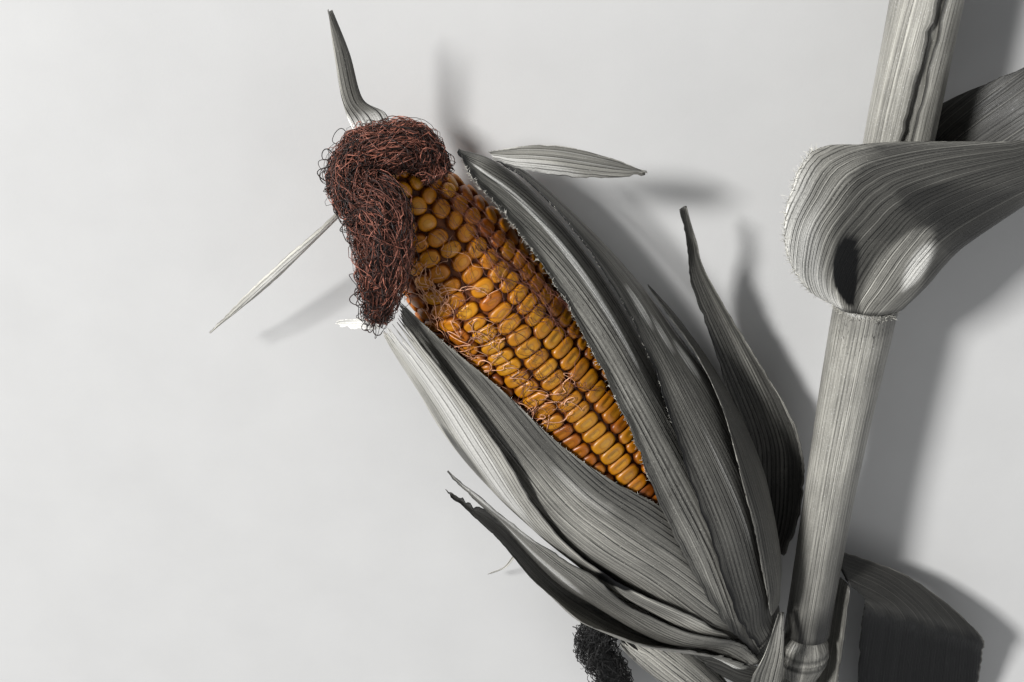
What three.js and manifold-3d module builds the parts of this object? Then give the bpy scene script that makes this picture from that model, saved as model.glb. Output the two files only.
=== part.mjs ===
// A ripe maize ear in its dry husks on a cut length of stalk, laid down. Millimetres, +Z up.
// The stalk runs along +Y and the ear leans away from it towards -X. Every husk, sheath and leaf is
// one thick sheet between two or more rails; the cob, stalk and silk are closed tubes.
import * as THREE from 'three';
import { mergeVertices } from 'three/addons/utils/BufferGeometryUtils.js';
import Module from 'manifold-3d';

// Driving dimensions. The ear: where it starts, the way it points, the way its side faces.
const EAR_BASE = [76.8, -106.1, 31];
const EAR_AXIS = [-0.574, 0.819, 0];
const EAR_SIDE = [0.819, 0.574, 0];
const KERNEL_ROWS = 16;
const FIRST_ROW_ANGLE = 17.5;
const KERNEL_PITCH = 4.4;
const KERNELS_FROM = 62;
const KERNELS_TO = 194;
const KERNEL_GROOVE = 2.0;
const HUSK_GAP = 0.6;
const BLADE_THICKNESS = 1.4;

// Along the ear: distance from its base, radius over the kernels.
const COB_PROFILE = [[0, 9], [5, 11.2], [15, 15.4], [40, 20.3], [60, 22], [100, 22.5],
  [140, 21.6], [165, 19.2], [180, 16.2], [190, 13.6], [197, 10.5], [204, 5.5]];
// Along the ear: distance from its base, radius of the room inside the husks.
const HUSK_PROFILE = [[-20, 6.9], [-8, 8.6], [0, 10.6], [5, 12.6], [15, 17.1], [40, 21.6], [60, 22.9],
  [100, 23.2], [150, 22.6], [175, 21.4], [204, 18.5]];
// Along the stalk: y, x and z of its centre, radius outside its sheath.
const STALK_PROFILE = [[-190, 98.5, 27.5, 8.8], [-125, 101.8, 28, 8], [-100, 103, 27, 7.9],
  [-47.5, 105.8, 24, 8.6], [0, 109.1, 22.2, 9.9], [84.5, 115, 20, 10.2], [118, 117.2, 19, 10.2]];
const STALK_NODE_Y = -125;
const COLLAR_Y = 9;

// Curves.
const mix = (a, b, f) => a + (b - a) * f;
const radians = (degrees) => degrees * Math.PI / 180;

function hermite(a, b, slopeA, slopeB, span, f) {
  const f2 = f * f;
  const f3 = f2 * f;
  return (2 * f3 - 3 * f2 + 1) * a + (f3 - 2 * f2 + f) * span * slopeA
    + (3 * f2 - 2 * f3) * b + (f3 - f2) * span * slopeB;
}

// The values of a table at x, smooth through its rows, each of which starts with its own x.
function profile(table, x) {
  const last = table.length - 1;
  let i = 0;
  while (i < last - 1 && x > table[i + 1][0]) i += 1;
  const [a, b] = [table[i], table[i + 1]];
  const before = table[Math.max(i - 1, 0)];
  const after = table[Math.min(i + 2, last)];
  const span = b[0] - a[0];
  const f = Math.min(Math.max((x - a[0]) / span, 0), 1);
  return a.slice(1).map((value, k) => {
    const slopeA = (b[k + 1] - before[k + 1]) / (b[0] - before[0]);
    const slopeB = (after[k + 1] - value) / (after[0] - a[0]);
    return hermite(value, b[k + 1], slopeA, slopeB, span, f);
  });
}

// A point of a rail, v = 0 at its first row and 1 at its last, smooth through the rows.
function along(rail, v) {
  const last = rail.length - 1;
  return profile(rail.map((row, i) => [i / last, ...row]), v);
}

// Places on the ear and on the stalk, by an angle about each: 0 up, 90 to its right side.
function earPoint(t, angle, radius) {
  const side = radius * Math.sin(radians(angle));
  const up = radius * Math.cos(radians(angle));
  return new THREE.Vector3(
    EAR_BASE[0] + EAR_AXIS[0] * t + EAR_SIDE[0] * side,
    EAR_BASE[1] + EAR_AXIS[1] * t + EAR_SIDE[1] * side,
    EAR_BASE[2] + up,
  );
}

function stalkPoint(y, angle, outward) {
  const [x, z, radius] = profile(STALK_PROFILE, y);
  const reach = radius + outward;
  const [side, up] = [reach * Math.sin(radians(angle)), reach * Math.cos(radians(angle))];
  return new THREE.Vector3(x + side, y, z + up);
}

// Closed solids.
function solid(vertices, faces) {
  const geometry = new THREE.BufferGeometry();
  const numbers = vertices.flatMap((p) => [p.x, p.y, p.z]);
  geometry.setAttribute('position', new THREE.Float32BufferAttribute(numbers, 3));
  geometry.setIndex(faces.flat());
  return geometry;
}

function gridNormals(points, columns, rows) {
  const at = (i, j) => points[j * (columns + 1) + i];
  return points.map((_, k) => {
    const i = k % (columns + 1);
    const j = Math.floor(k / (columns + 1));
    const across = at(Math.min(i + 1, columns), j).clone().sub(at(Math.max(i - 1, 0), j));
    const lengthways = at(i, Math.min(j + 1, rows)).clone().sub(at(i, Math.max(j - 1, 0)));
    return across.cross(lengthways).normalize();
  });
}

// A thick sheet about surface(u, v). The thickness is a number, or a function of u and v.
function sheet(surface, columns, rows, thickness) {
  const middle = [];
  const half = [];
  for (let j = 0; j <= rows; j += 1) {
    for (let i = 0; i <= columns; i += 1) {
      middle.push(surface(i / columns, j / rows));
      half.push((typeof thickness === 'number' ? thickness : thickness(i / columns, j / rows)) / 2);
    }
  }
  const normals = gridNormals(middle, columns, rows);
  const front = middle.map((p, k) => p.clone().addScaledVector(normals[k], half[k]));
  const back = middle.map((p, k) => p.clone().addScaledVector(normals[k], -half[k]));
  const count = middle.length;
  const at = (i, j) => j * (columns + 1) + i;
  const faces = [];
  const quad = (a, b, c, d) => faces.push([a, b, c], [a, c, d]);
  for (let j = 0; j < rows; j += 1) {
    for (let i = 0; i < columns; i += 1) {
      const [a, b, c, d] = [at(i, j), at(i + 1, j), at(i + 1, j + 1), at(i, j + 1)];
      quad(a, b, c, d);
      quad(count + a, count + d, count + c, count + b);
    }
    const [l0, l1, r0, r1] = [at(0, j), at(0, j + 1), at(columns, j), at(columns, j + 1)];
    quad(l0, l1, count + l1, count + l0);
    quad(r0, count + r0, count + r1, r1);
  }
  for (let i = 0; i < columns; i += 1) {
    const [s0, s1, e0, e1] = [at(i, 0), at(i + 1, 0), at(i, rows), at(i + 1, rows)];
    quad(s0, count + s0, count + s1, s1);
    quad(e0, e1, count + e1, count + e0);
  }
  return solid([...front, ...back], faces);
}

// A closed tube through rings of points, each counterclockwise about the way the rings run.
function tube(rings) {
  const around = rings[0].length;
  const vertices = rings.flat();
  const faces = [];
  for (let j = 0; j < rings.length - 1; j += 1) {
    for (let i = 0; i < around; i += 1) {
      const [a, b] = [j * around + i, j * around + (i + 1) % around];
      faces.push([a, b, b + around], [a, b + around, a + around]);
    }
  }
  const total = (ring) => ring.reduce((sum, p) => sum.add(p), new THREE.Vector3());
  const centre = (ring) => total(ring).divideScalar(around);
  const start = vertices.push(centre(rings[0])) - 1;
  const end = vertices.push(centre(rings[rings.length - 1])) - 1;
  const lastRing = (rings.length - 1) * around;
  for (let i = 0; i < around; i += 1) {
    const next = (i + 1) % around;
    faces.push([start, next, i], [end, lastRing + i, lastRing + next]);
  }
  return solid(vertices, faces);
}

// A tube round a path of points. radiusAt(f, angle) may vary along and around.
function pathTube(path, radiusAt, sides) {
  const up = new THREE.Vector3(0.13, 0.21, 1).normalize();
  const rings = path.map((p, k) => {
    const next = path[Math.min(k + 1, path.length - 1)];
    const ahead = next.clone().sub(path[Math.max(k - 1, 0)]).normalize();
    const right = up.clone().cross(ahead).normalize();
    const top = ahead.clone().cross(right);
    return Array.from({ length: sides }, (_, i) => {
      const angle = 2 * Math.PI * i / sides;
      const radius = radiusAt(k / (path.length - 1), angle);
      return p.clone()
        .addScaledVector(right, radius * Math.cos(angle))
        .addScaledVector(top, radius * Math.sin(angle));
    });
  });
  return tube(rings);
}

const railPath = (rail, steps) => Array.from(
  { length: steps + 1 },
  (_, i) => new THREE.Vector3(...along(rail, i / steps)),
);

// A blade across two or more rails of [x, y, z]. The part of it between two shares of its length.
function bladeSurface(rails, from = 0, to = 1) {
  return (u, v) => {
    const x = Math.min(u, 1) * (rails.length - 1);
    const i = Math.min(Math.floor(x), rails.length - 2);
    const a = new THREE.Vector3(...along(rails[i], mix(from, to, v)));
    const b = new THREE.Vector3(...along(rails[i + 1], mix(from, to, v)));
    return a.lerp(b, x - i);
  };
}

// The cob with its kernels: grooves between the rows and between the kernels of a row.
function kernelAngles() {
  const step = 360 / KERNEL_ROWS;
  const angles = [];
  for (let row = -3; row <= 3; row += 1) {
    const centre = FIRST_ROW_ANGLE + row * step;
    angles.push([centre - step / 2, 1, 0]);
    angles.push([centre - step * 0.3, 0, row], [centre + step * 0.3, 0, row]);
  }
  const open = FIRST_ROW_ANGLE + 3.5 * step;
  const closed = FIRST_ROW_ANGLE - 3.5 * step + 360;
  for (let k = 0; k < 7; k += 1) angles.push([mix(open, closed, k / 7), 0.6, 0]);
  return angles;
}

function cobStations() {
  const stations = [0, 5, 15, 28, 45].map((t) => [t, 0, 0]);
  for (let t = KERNELS_FROM; t < KERNELS_TO; t += KERNEL_PITCH) {
    stations.push([t, 1, 0], [t + KERNEL_PITCH * 0.5, 0, 1]);
  }
  stations.push([KERNELS_TO + 2, 1, 0], [200, 0, 0], [204, 0, 0]);
  return stations;
}

function cob() {
  const angles = kernelAngles();
  const rings = cobStations().map(([t, cross, crown]) => angles.map(([angle, groove, row]) => {
    const stagger = crown * (row % 2 ? 0.25 : -0.25) * KERNEL_PITCH;
    const depth = KERNEL_GROOVE * Math.max(groove, cross * 0.7);
    const [radius] = profile(COB_PROFILE, t + stagger);
    return earPoint(t + stagger, angle, Math.max(radius - depth, 2));
  }));
  return tube(rings);
}

// The husks: thin at the base of the ear, where many of them overlap.
const huskThickness = (t) => mix(1.0, 1.8, Math.min(Math.max(t / 40, 0), 1));

function layerRadius(t, layer) {
  const thickness = huskThickness(t);
  return profile(HUSK_PROFILE, t)[0] + thickness / 2 + layer * (thickness + HUSK_GAP);
}

// Each husk's layer and its rails from one edge to the other, as rows of the distance along the ear, the
// angle about it (0 up, 90 towards the stalk) and the lift off its layer.
const HUSKS = {
  husk_left_inner: [0,
    [[-14, -150, 0], [10, -150, 0], [34, -150, 0], [60, -150, 0], [85, -150, 0], [108, -148, 0],
      [130, -140, 0], [146, -122, 0.5], [152, -92, 1]],
    [[-14, -60, 0], [14, -60, 0], [42, -62, 1.2], [66, -70, 5.5], [85, -74, 7], [104, -76, 5.5],
      [128, -78, 3.5], [148, -74, 1.5], [159, -62, 1]],
    [[-14, 30, 0], [14, 32, 0], [42, 31, 0], [66, 22, 0], [85, 5, 0], [104, -8, 0],
      [128, -17, 0], [150, -31, 0.5], [168, -43, 1]]],
  husk_left_middle: [1,
    [[-14, -140, 0.3], [4, -138, 0.3], [24, -132, 0.3], [44, -119, 3.5], [62, -112, 8], [80, -106, 11.5],
      [97, -100, 13], [118, -96, 13], [138, -93, 9.5], [155, -92, 6.5]],
    [[-12, -12, 0.3], [8, -8, 0.3], [24, -14, 0.4], [40, -28, 1.6], [54, -42, 3], [70, -46, 5.2],
      [90, -43, 5.8], [112, -37, 4.4], [138, -37, 2.8], [166, -38, 2.5]]],
  husk_left_outer: [2,
    [[-12, -122, 0.3], [0, -118, 3], [11, -108, 8], [26, -100, 12], [45, -96, 15], [62, -94, 15.5],
      [78, -91, 15], [92, -84, 15], [110, -72, 15]],
    [[-12, 3, 1], [0, 0, 1], [10, -10, 1], [24, -34, 1.3], [40, -46, 1.6], [54, -44, 3.2],
      [68, -52, 6], [82, -62, 8.6], [96, -66, 11.4], [111, -70, 14]]],
  husk_left_lowest: [3,
    [[-12, -128, 0], [0, -126, 4], [12, -120, 9.5], [28, -114, 14.5], [44, -111, 17.5], [60, -108, 18],
      [76, -103, 17.5], [90, -94, 17.5], [102, -83, 17.5]],
    [[-12, -14, 0.6], [0, -22, 1.3], [12, -36, 3.8], [28, -54, 8.2], [44, -68, 12], [60, -76, 14.5],
      [76, -79, 15], [90, -80, 16], [102, -79, 17]]],
  husk_back_inner: [2,
    [[-10, 152, 0], [20, 150, 0], [60, 150, 0], [100, 150, 0], [135, 152, 0], [158, 164, 0]],
    [[-10, 216, 0], [20, 218, 0], [60, 224, 0], [100, 226, 0], [135, 222, 0], [160, 184, 0]]],
  husk_back_outer: [3,
    [[-10, 152, 0], [20, 156, 0], [55, 160, 0], [90, 164, 0], [118, 174, 0], [138, 192, 0]],
    [[-10, 214, 0], [20, 222, 0], [55, 240, 0], [90, 246, 0], [118, 236, 0], [140, 204, 0]]],
  husk_right_inner: [1,
    [[-10, -4, 0.8], [6, 0, 0.8], [34, 7, 0.9], [68, 19, 1.3], [98, 37, -0.4], [126, 53, -1.4],
      [150, 63, -1.4], [170, 66, -1.4], [183, 66, -1.5], [191, 76, -2]],
    [[-8, 66, 0], [7, 70, 0], [34, 78, 0], [68, 90, 0], [98, 98, 2], [126, 102, 5],
      [150, 102, 5.4], [170, 96, 4.2], [183, 86, 2], [191, 79, -1.5]],
    [[-6, 136, 0], [8, 142, 0], [34, 150, 0], [68, 150, 0], [98, 150, 0], [126, 146, 0],
      [150, 134, 1], [168, 118, 2], [180, 104, 1], [191, 83, -1.5]]],
  husk_right_outer: [2,
    [[-6, 9, 0.8], [6, 11, 0.8], [26, 19, 0.9], [60, 38, 1], [86, 55, 1.8], [106, 71, 3.5],
      [128, 77, 6], [150, 83, 6], [170, 84, 4.5], [182, 81, 1.8]],
    [[-4, 128, 0], [8, 121, 0.5], [26, 116, 3], [50, 113, 9], [74, 110, 11.2], [96, 108, 11.3],
      [118, 106, 11.2], [142, 104, 9], [168, 100, 5.5], [184.6, 90, 2]]],
  husk_right_fold: [3,
    [[3, 44, 1], [12, 43, 1.3], [24, 48, 1.8], [37, 55, 2.6], [50, 62, 4], [63, 73, 5.6],
      [78, 88, 7.8], [93, 97, 9.4], [106, 99, 9.6], [119, 100, 9.8]],
    [[2, 125, 0.6], [12, 121, 2], [24, 119.6, 4.2], [37, 118.6, 6.7], [50, 117.8, 9.1], [63, 116.4, 11.2],
      [78, 114, 12.4], [93, 111, 12.5], [106, 107.5, 11.8], [119, 103, 10.4]]],
};

function husk([layer, ...rails]) {
  const row = (v) => rails.map((rail) => along(rail, v));
  const surface = (u, v) => {
    const [t, angle, lift] = along(row(v), u);
    return earPoint(t, angle, layerRadius(t, layer) + lift);
  };
  const [first, last] = [rails[0], rails[rails.length - 1]];
  const widest = Math.max(...first.map((start, i) => Math.abs(last[i][1] - start[1])));
  const columns = Math.max(4, Math.ceil(widest / 13));
  return sheet(surface, columns, 12, (u, v) => huskThickness(along(row(v), u)[0]));
}

// Husks and husk tips that stand free of the ear, as rails of places.
const FREE_HUSKS = {
  husk_right_free: [
    [[50, 39, 22], [53, 27, 20], [56, 10, 14], [64.6, -12, 11.7], [71.5, -33, 10.9], [77.6, -49, 10.6],
      [80, -63, 11], [82, -78.5, 12], [83.5, -91.8, 13]],
    [[52, 39, 23], [56, 28, 21], [60, 16, 18], [76, -11, 15], [92, -37, 14], [97.6, -52, 14], [99, -65, 14],
      [98.6, -80, 14.4], [95, -93.5, 15.5]],
  ],
  husk_tip_right: [
    [[-5.5, 60.3, 36.2], [0, 58.2, 36.6], [7, 56.5, 36.6], [15, 55, 36], [26, 53.8, 34], [38.6, 52.8, 30]],
    [[-6.8, 62.7, 35.9], [-2, 64.2, 37.4], [6, 66, 39.2], [16, 65.4, 39.4], [30, 60.4, 36.4],
      [39.2, 54, 31]],
  ],
  husk_tip_left: [
    [[-41.3, 46.9, 21.8], [-57, 32, 22], [-73, 15, 20], [-88, 1, 16], [-97, -6.6, 13]],
    [[-40.9, 51.1, 22.4], [-54, 38, 25], [-71, 22, 22], [-87, 5, 18], [-96.6, -5.6, 14]],
  ],
  husk_tip_upright: [
    [[-43.6, 59.9, 28], [-46.4, 68, 27.4], [-48.4, 76, 27.4], [-49.4, 89, 29], [-50, 102, 31]],
    [[-34.6, 66, 27.4], [-36.2, 71, 26.8], [-42.6, 75, 26.4], [-45.4, 89, 28.5], [-49, 102, 31.6]],
  ],
  husk_tip_torn: [
    [[-38.3, 12.9, 45.8], [-44.5, 13.8, 44], [-53, 10.4, 38.5]],
    [[-39.2, 9.4, 42.6], [-45.5, 8.7, 41.5], [-53.8, 7.4, 37]],
  ],
  husk_base_bract: [
    [[91, -142, 24], [84, -143, 25], [77, -138, 27.5], [68, -130.5, 29.5]],
    [[88, -130.3, 31.2], [80, -126.8, 31], [71, -124.6, 28.5], [63, -126, 27.5]],
  ],
};

// The stalk, its sheaths and leaves.
function stalk() {
  const node = [[-134, -1.2], [-130, 0], [-125, 0.9], [-121, 0], [-118, -1.9]];
  const ys = [-190, -160, -134, -130, -127.5, -122.5, -119.5, -116, -80, -47, -20, 9, 40, 80, 118];
  const rings = ys.map((y) => {
    const outward = y < -118 && y > -134 ? profile(node, y)[0] : -1.9;
    return Array.from({ length: 16 }, (_, i) => stalkPoint(y, i * 22.5, outward));
  });
  return tube(rings);
}

// A sheath round the stalk between two angles, each a table by y, standing off it by a table too.
function sheath(from, to, leftEdge, rightEdge, standoff, rows) {
  const surface = (u, v) => {
    const y = mix(from, to, v);
    const angle = mix(profile(leftEdge, y)[0], profile(rightEdge, y)[0], u);
    const [nearLeft, nearRight] = profile(standoff, y);
    return stalkPoint(y, angle, mix(nearLeft, nearRight, u) - BLADE_THICKNESS / 2);
  };
  return sheet(surface, 18, rows, BLADE_THICKNESS);
}

const upperSheath = () => sheath(
  STALK_NODE_Y + 9, COLLAR_Y, [[-120, -178], [9, -178]], [[-120, 174], [9, 174]],
  [[-120, 0, 0], [9, 0, 0]], 5,
);

const topSheath = () => sheath(
  COLLAR_Y + 3.5, 116, [[11, 2], [70, 3], [116, 16]], [[11, 350], [70, 352], [116, 370]],
  [[11, 0, 0], [116, 0, 0]], 5,
);

const lowerSheath = () => sheath(
  -187, -98, [[-187, 62], [-150, 72], [-98, 84]], [[-187, 292], [-176, 230], [-98, 214]],
  [[-187, 3, 2], [-150, 6, 2], [-98, 5, 2]], 7,
);

// The upper leaf: rails from its near margin over the fold to its far margin, from the collar outwards.
const UPPER_LEAF_BASE = [
  [[100.2, 9.4, 27.2], [85, 23, 38], [76, 45, 50], [79, 69, 56], [98, 71, 51], [138, 72, 52]],
  [[102.3, 9.4, 31], [96, 21, 34], [93, 40, 43], [98, 57, 50], [109, 61, 50], [141, 66, 49]],
  [[109.9, 9.4, 33.2], [111, 20, 38], [113, 33, 42], [117, 44, 45], [125, 48, 44], [145, 56, 43]],
  [[119.6, 9.4, 28], [125, 19, 31], [128, 25, 32], [132, 31, 32.5], [138, 37, 33], [150, 48, 34]],
  [[119, 9.4, 15], [125, 20, 10], [128, 32, 9], [131, 42, 9], [137, 51, 13], [150, 63, 22]],
  [[107, 9.4, 10.6], [108, 20, 7], [110, 38, 6], [117, 56, 6], [129, 68, 8], [149, 80, 12]],
];
// Its course beyond: x, y, z of the fold, width and spread angle of the near and the far half, each
// half's lead along the leaf.
const UPPER_LEAF_COURSE = [
  [150.4, 48.3, 34, 31, 35, 39, 34, 8, 21],
  [185, 72, 33, 31, 40, 37, 40, 6, 14],
  [230, 84, 30, 28, 45, 31, 50, 3, 6],
  [275, 76, 23, 22, 50, 24, 55, 0, 0],
  [315, 50, 16, 15, 52, 16, 58, 0, 0],
  [345, 18, 7.2, 8, 55, 8, 60, 0, 0],
  [362, -12, 0.6, 1, 60, 1, 60, 0, 0],
];

function upperLeafSurface(from, to) {
  return (u, w) => {
    const v = mix(from, to, w);
    const row = along(UPPER_LEAF_COURSE, v);
    const ahead = along(UPPER_LEAF_COURSE, Math.min(v + 0.01, 1));
    const behind = along(UPPER_LEAF_COURSE, Math.max(v - 0.01, 0));
    const way = new THREE.Vector3(ahead[0] - behind[0], ahead[1] - behind[1], 0).normalize();
    const inward = new THREE.Vector3(-way.y, way.x, 0);
    const near = u < 0.5;
    const share = Math.abs(1 - 2 * u);
    const width = (near ? row[3] : row[5]) * share;
    const spread = radians(near ? row[4] : row[6]);
    const lead = (near ? row[7] : row[8]) * share;
    return new THREE.Vector3(row[0], row[1], row[2])
      .addScaledVector(inward, width * Math.cos(spread))
      .addScaledVector(way, lead)
      .add(new THREE.Vector3(0, 0, (near ? 1 : -1) * width * Math.sin(spread)));
  };
}

const LOWER_LEAF = [
  [[115.4, -96.3, 28.5], [119.8, -101.2, 28.6], [120.5, -104.5, 28.2], [122, -116, 24],
    [126, -149, 16], [134, -182, 8], [150, -214, 2.7], [165.5, -238, 0.2]],
  [[110, -90.5, 13], [139, -102, 15.5], [165, -123, 20], [170, -137, 16], [173, -160, 11], [176, -195, 6],
    [174, -222, 2.2], [168, -239, 0.2]],
];
const LOWER_LEAF_FOLD = 2 / 7;

const SHEATH_FLAP = [
  [[89, -99, 39.9], [84.5, -111, 45.9], [81.5, -126, 42], [83, -141, 34.5], [85, -154, 31]],
  [[91, -99, 38.9], [91, -111, 44.9], [92, -126, 42.5], [92, -141, 37.5], [92, -154, 33]],
];

// The small second ear, in its own husks.
const SECOND_EAR_AXIS = [[91.7, -164, 24.4], [82, -156.5, 23], [71, -148, 22], [60, -137.5, 21.5],
  [49, -127.2, 21], [40, -120.5, 20]];
const SECOND_EAR_RADIUS = [[0, 3.6], [0.2, 4.4], [0.42, 7.6], [0.65, 9.2], [0.85, 8.6], [1, 6.2]];
const SECOND_SILK_PATH = [[37.3, -118.9, 19.6], [32.2, -119.1, 19], [29.6, -128.5, 17.5], [33, -141, 14.5],
  [39, -155, 10.5], [43, -167, 7]];

function secondEar() {
  return pathTube(railPath(SECOND_EAR_AXIS, 14), (f, angle) => {
    const [radius] = profile(SECOND_EAR_RADIUS, f);
    return radius * (1 + 0.05 * Math.cos(5 * angle + 3 * f));
  }, 14);
}

// The silk: a core with strands that stand out of it.
const SILK_PATH = [[191, 56, 17.3], [198, 56, 17.6], [203, 46, 17], [206.5, 25, 15.5], [207.5, 8, 14.5],
  [206, -7, 18], [201.5, -9, 21.5], [196.5, -4, 24], [190, -9, 26.5], [183.5, -17, 28.5], [177, -27, 30.5],
  [170, -42, 32]];
const SILK_RADIUS = [[0, 3.4], [0.12, 5.6], [0.3, 6.4], [0.5, 6.8], [0.68, 7.8], [0.85, 6.8], [1, 3]];

function seeded(seed) {
  let state = seed;
  return () => {
    state = (state * 16807) % 2147483647;
    return state / 2147483647;
  };
}

function toManifold(wasm, geometry) {
  const plain = geometry.clone();
  plain.deleteAttribute('normal');
  plain.deleteAttribute('uv');
  const merged = mergeVertices(plain, 1e-3);
  return new wasm.Manifold(new wasm.Mesh({
    numProp: 3,
    vertProperties: merged.attributes.position.array,
    triVerts: new Uint32Array(merged.index.array),
  }));
}

function fromManifold(body) {
  const mesh = body.getMesh();
  const geometry = new THREE.BufferGeometry();
  geometry.setAttribute('position', new THREE.Float32BufferAttribute(mesh.vertProperties, 3));
  geometry.setIndex(Array.from(mesh.triVerts));
  return geometry;
}

// Strands that leave a core sideways, droop and curl, each rooted inside it.
function strands(core, count, reach, radius, outwardOf, random) {
  const made = [];
  for (let k = 0; k < count; k += 1) {
    const s = Math.floor(random() * (core.length - 2)) + 1;
    const way = core[s + 1].clone().sub(core[s - 1]).normalize();
    const out = outwardOf(core[s], random).projectOnPlane(way).normalize();
    const curl = way.clone().multiplyScalar(random() < 0.5 ? -1 : 1);
    const length = reach * (0.7 + 0.5 * random());
    const root = core[s].clone().lerp(core[s + 1], random());
    const path = [0, 0.33, 0.67, 1].map((f) => root.clone()
      .addScaledVector(out, length * Math.sin(f * 2.0))
      .addScaledVector(curl, length * (1 - Math.cos(f * 1.9)) * 0.6));
    made.push(pathTube(path, (f) => mix(radius, radius * 0.6, f), 3));
  }
  return made;
}

function tuft(wasm, core, radiusTable, strandGeometries, sides) {
  const body = pathTube(core, (f, angle) => {
    const [radius] = profile(radiusTable, f);
    return radius * (1 + 0.12 * Math.sin(3 * angle + 14 * f));
  }, sides);
  let joined = toManifold(wasm, body);
  for (const strand of strandGeometries) joined = joined.add(toManifold(wasm, strand));
  return fromManifold(joined);
}

function mainSilk(wasm) {
  const core = Array.from({ length: 23 }, (_, i) => earPoint(...along(SILK_PATH, i / 22)));
  const outward = (p, random) => {
    const q = p.clone().sub(earPoint(0, 0, 0));
    const t = q.dot(new THREE.Vector3(...EAR_AXIS));
    return q.addScaledVector(new THREE.Vector3(...EAR_AXIS), -t).normalize()
      .addScaledVector(new THREE.Vector3(...EAR_AXIS), random() * 1.6 - 0.2);
  };
  return tuft(wasm, core, SILK_RADIUS, strands(core, 34, 9, 0.9, outward, seeded(31)), 12);
}

function secondSilk(wasm) {
  const core = railPath(SECOND_SILK_PATH, 11);
  const outward = (p, random) => new THREE.Vector3(random() - 0.75, random() * 0.6 - 0.3, random() * 0.9);
  const radius = [[0, 2], [0.15, 4.4], [0.4, 6], [0.75, 5], [1, 2.4]];
  return tuft(wasm, core, radius, strands(core, 22, 8.5, 0.9, outward, seeded(5)), 10);
}

// The colours, and the object.
const STRAW = { color: 0xb9b4a6, roughness: 0.72, metalness: 0 };
const PALE_STRAW = { color: 0xd2cdbf, roughness: 0.68, metalness: 0 };
const SHADED_STRAW = { color: 0x8f8a7e, roughness: 0.78, metalness: 0 };
const STALK_SKIN = { color: 0xa9a598, roughness: 0.6, metalness: 0 };
const GRAIN = { color: 0xd08a1c, roughness: 0.38, metalness: 0 };
const SILK_BROWN = { color: 0x5a2a1c, roughness: 0.8, metalness: 0 };
const SILK_BLACK = { color: 0x1d1a18, roughness: 0.82, metalness: 0 };

const maize = new THREE.Group();
maize.name = 'maize_ear_on_stalk';

function put(name, geometry, look) {
  const plain = geometry.index ? geometry.toNonIndexed() : geometry;
  plain.computeVertexNormals();
  const mesh = new THREE.Mesh(plain, new THREE.MeshStandardMaterial(look));
  mesh.name = name;
  maize.add(mesh);
}

const wasm = await Module();
wasm.setup();

put('stalk', stalk(), STALK_SKIN);
put('upper_leaf_sheath', upperSheath(), STALK_SKIN);
put('top_leaf_sheath', topSheath(), STALK_SKIN);
put('lower_leaf_sheath', lowerSheath(), STRAW);
put('sheath_flap', sheet(bladeSurface(SHEATH_FLAP), 3, 8, 1), PALE_STRAW);
put('upper_leaf_base', sheet(bladeSurface(UPPER_LEAF_BASE), 15, 10, BLADE_THICKNESS), STRAW);
put('upper_leaf_blade', sheet(upperLeafSurface(0, 0.499), 8, 9, BLADE_THICKNESS), STRAW);
put('upper_leaf_tip', sheet(upperLeafSurface(0.501, 1), 8, 9, BLADE_THICKNESS), STRAW);
put('lower_leaf_blade', sheet(bladeSurface(LOWER_LEAF, 0, LOWER_LEAF_FOLD - 0.006), 6, 5, BLADE_THICKNESS),
  SHADED_STRAW);
const lowerLeafHanging = bladeSurface(LOWER_LEAF, LOWER_LEAF_FOLD + 0.006, 1);
put('lower_leaf_hanging', sheet(lowerLeafHanging, 6, 12, BLADE_THICKNESS), SHADED_STRAW);

const shankPath = [[92.6, -125.4, 28], [88.6, -124.2, 28.8], [82.6, -114.9, 31], [77.1, -106.5, 31]];
put('shank', pathTube(railPath(shankPath, 6), () => 5.6, 12), STRAW);
put('cob', cob(), GRAIN);
for (const [name, rails] of Object.entries(HUSKS)) put(name, husk(rails), STRAW);
for (const [name, rails] of Object.entries(FREE_HUSKS)) {
  put(name, sheet(bladeSurface(rails), 4, 10, 1.2), PALE_STRAW);
}
put('silk', mainSilk(wasm), SILK_BROWN);
put('second_ear', secondEar(), STRAW);
put('second_ear_silk', secondSilk(wasm), SILK_BLACK);

// The frame's origin: the middle of the footprint, at floor level.
const bounds = new THREE.Box3().setFromObject(maize);
const centre = bounds.getCenter(new THREE.Vector3());
maize.position.set(-centre.x, -centre.y, -bounds.min.z);

export default maize;
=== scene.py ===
"""A ripe maize ear in its dry husks on a cut length of stalk, lying on a pale floor."""

import math

import bpy
import numpy as np
from mathutils import Matrix


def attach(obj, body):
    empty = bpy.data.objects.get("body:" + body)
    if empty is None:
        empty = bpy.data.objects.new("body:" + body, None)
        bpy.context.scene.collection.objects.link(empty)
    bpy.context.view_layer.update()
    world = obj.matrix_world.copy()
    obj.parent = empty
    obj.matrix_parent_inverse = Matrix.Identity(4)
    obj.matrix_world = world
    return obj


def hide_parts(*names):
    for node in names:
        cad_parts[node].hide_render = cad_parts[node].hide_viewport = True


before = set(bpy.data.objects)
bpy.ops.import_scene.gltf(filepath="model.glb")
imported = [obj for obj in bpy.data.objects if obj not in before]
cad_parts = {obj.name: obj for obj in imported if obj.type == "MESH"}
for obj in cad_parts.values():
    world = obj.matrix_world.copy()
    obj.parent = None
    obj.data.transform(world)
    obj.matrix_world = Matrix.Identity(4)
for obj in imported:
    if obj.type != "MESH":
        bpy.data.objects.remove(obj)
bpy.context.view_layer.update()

MM = 0.001  # in metres

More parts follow.
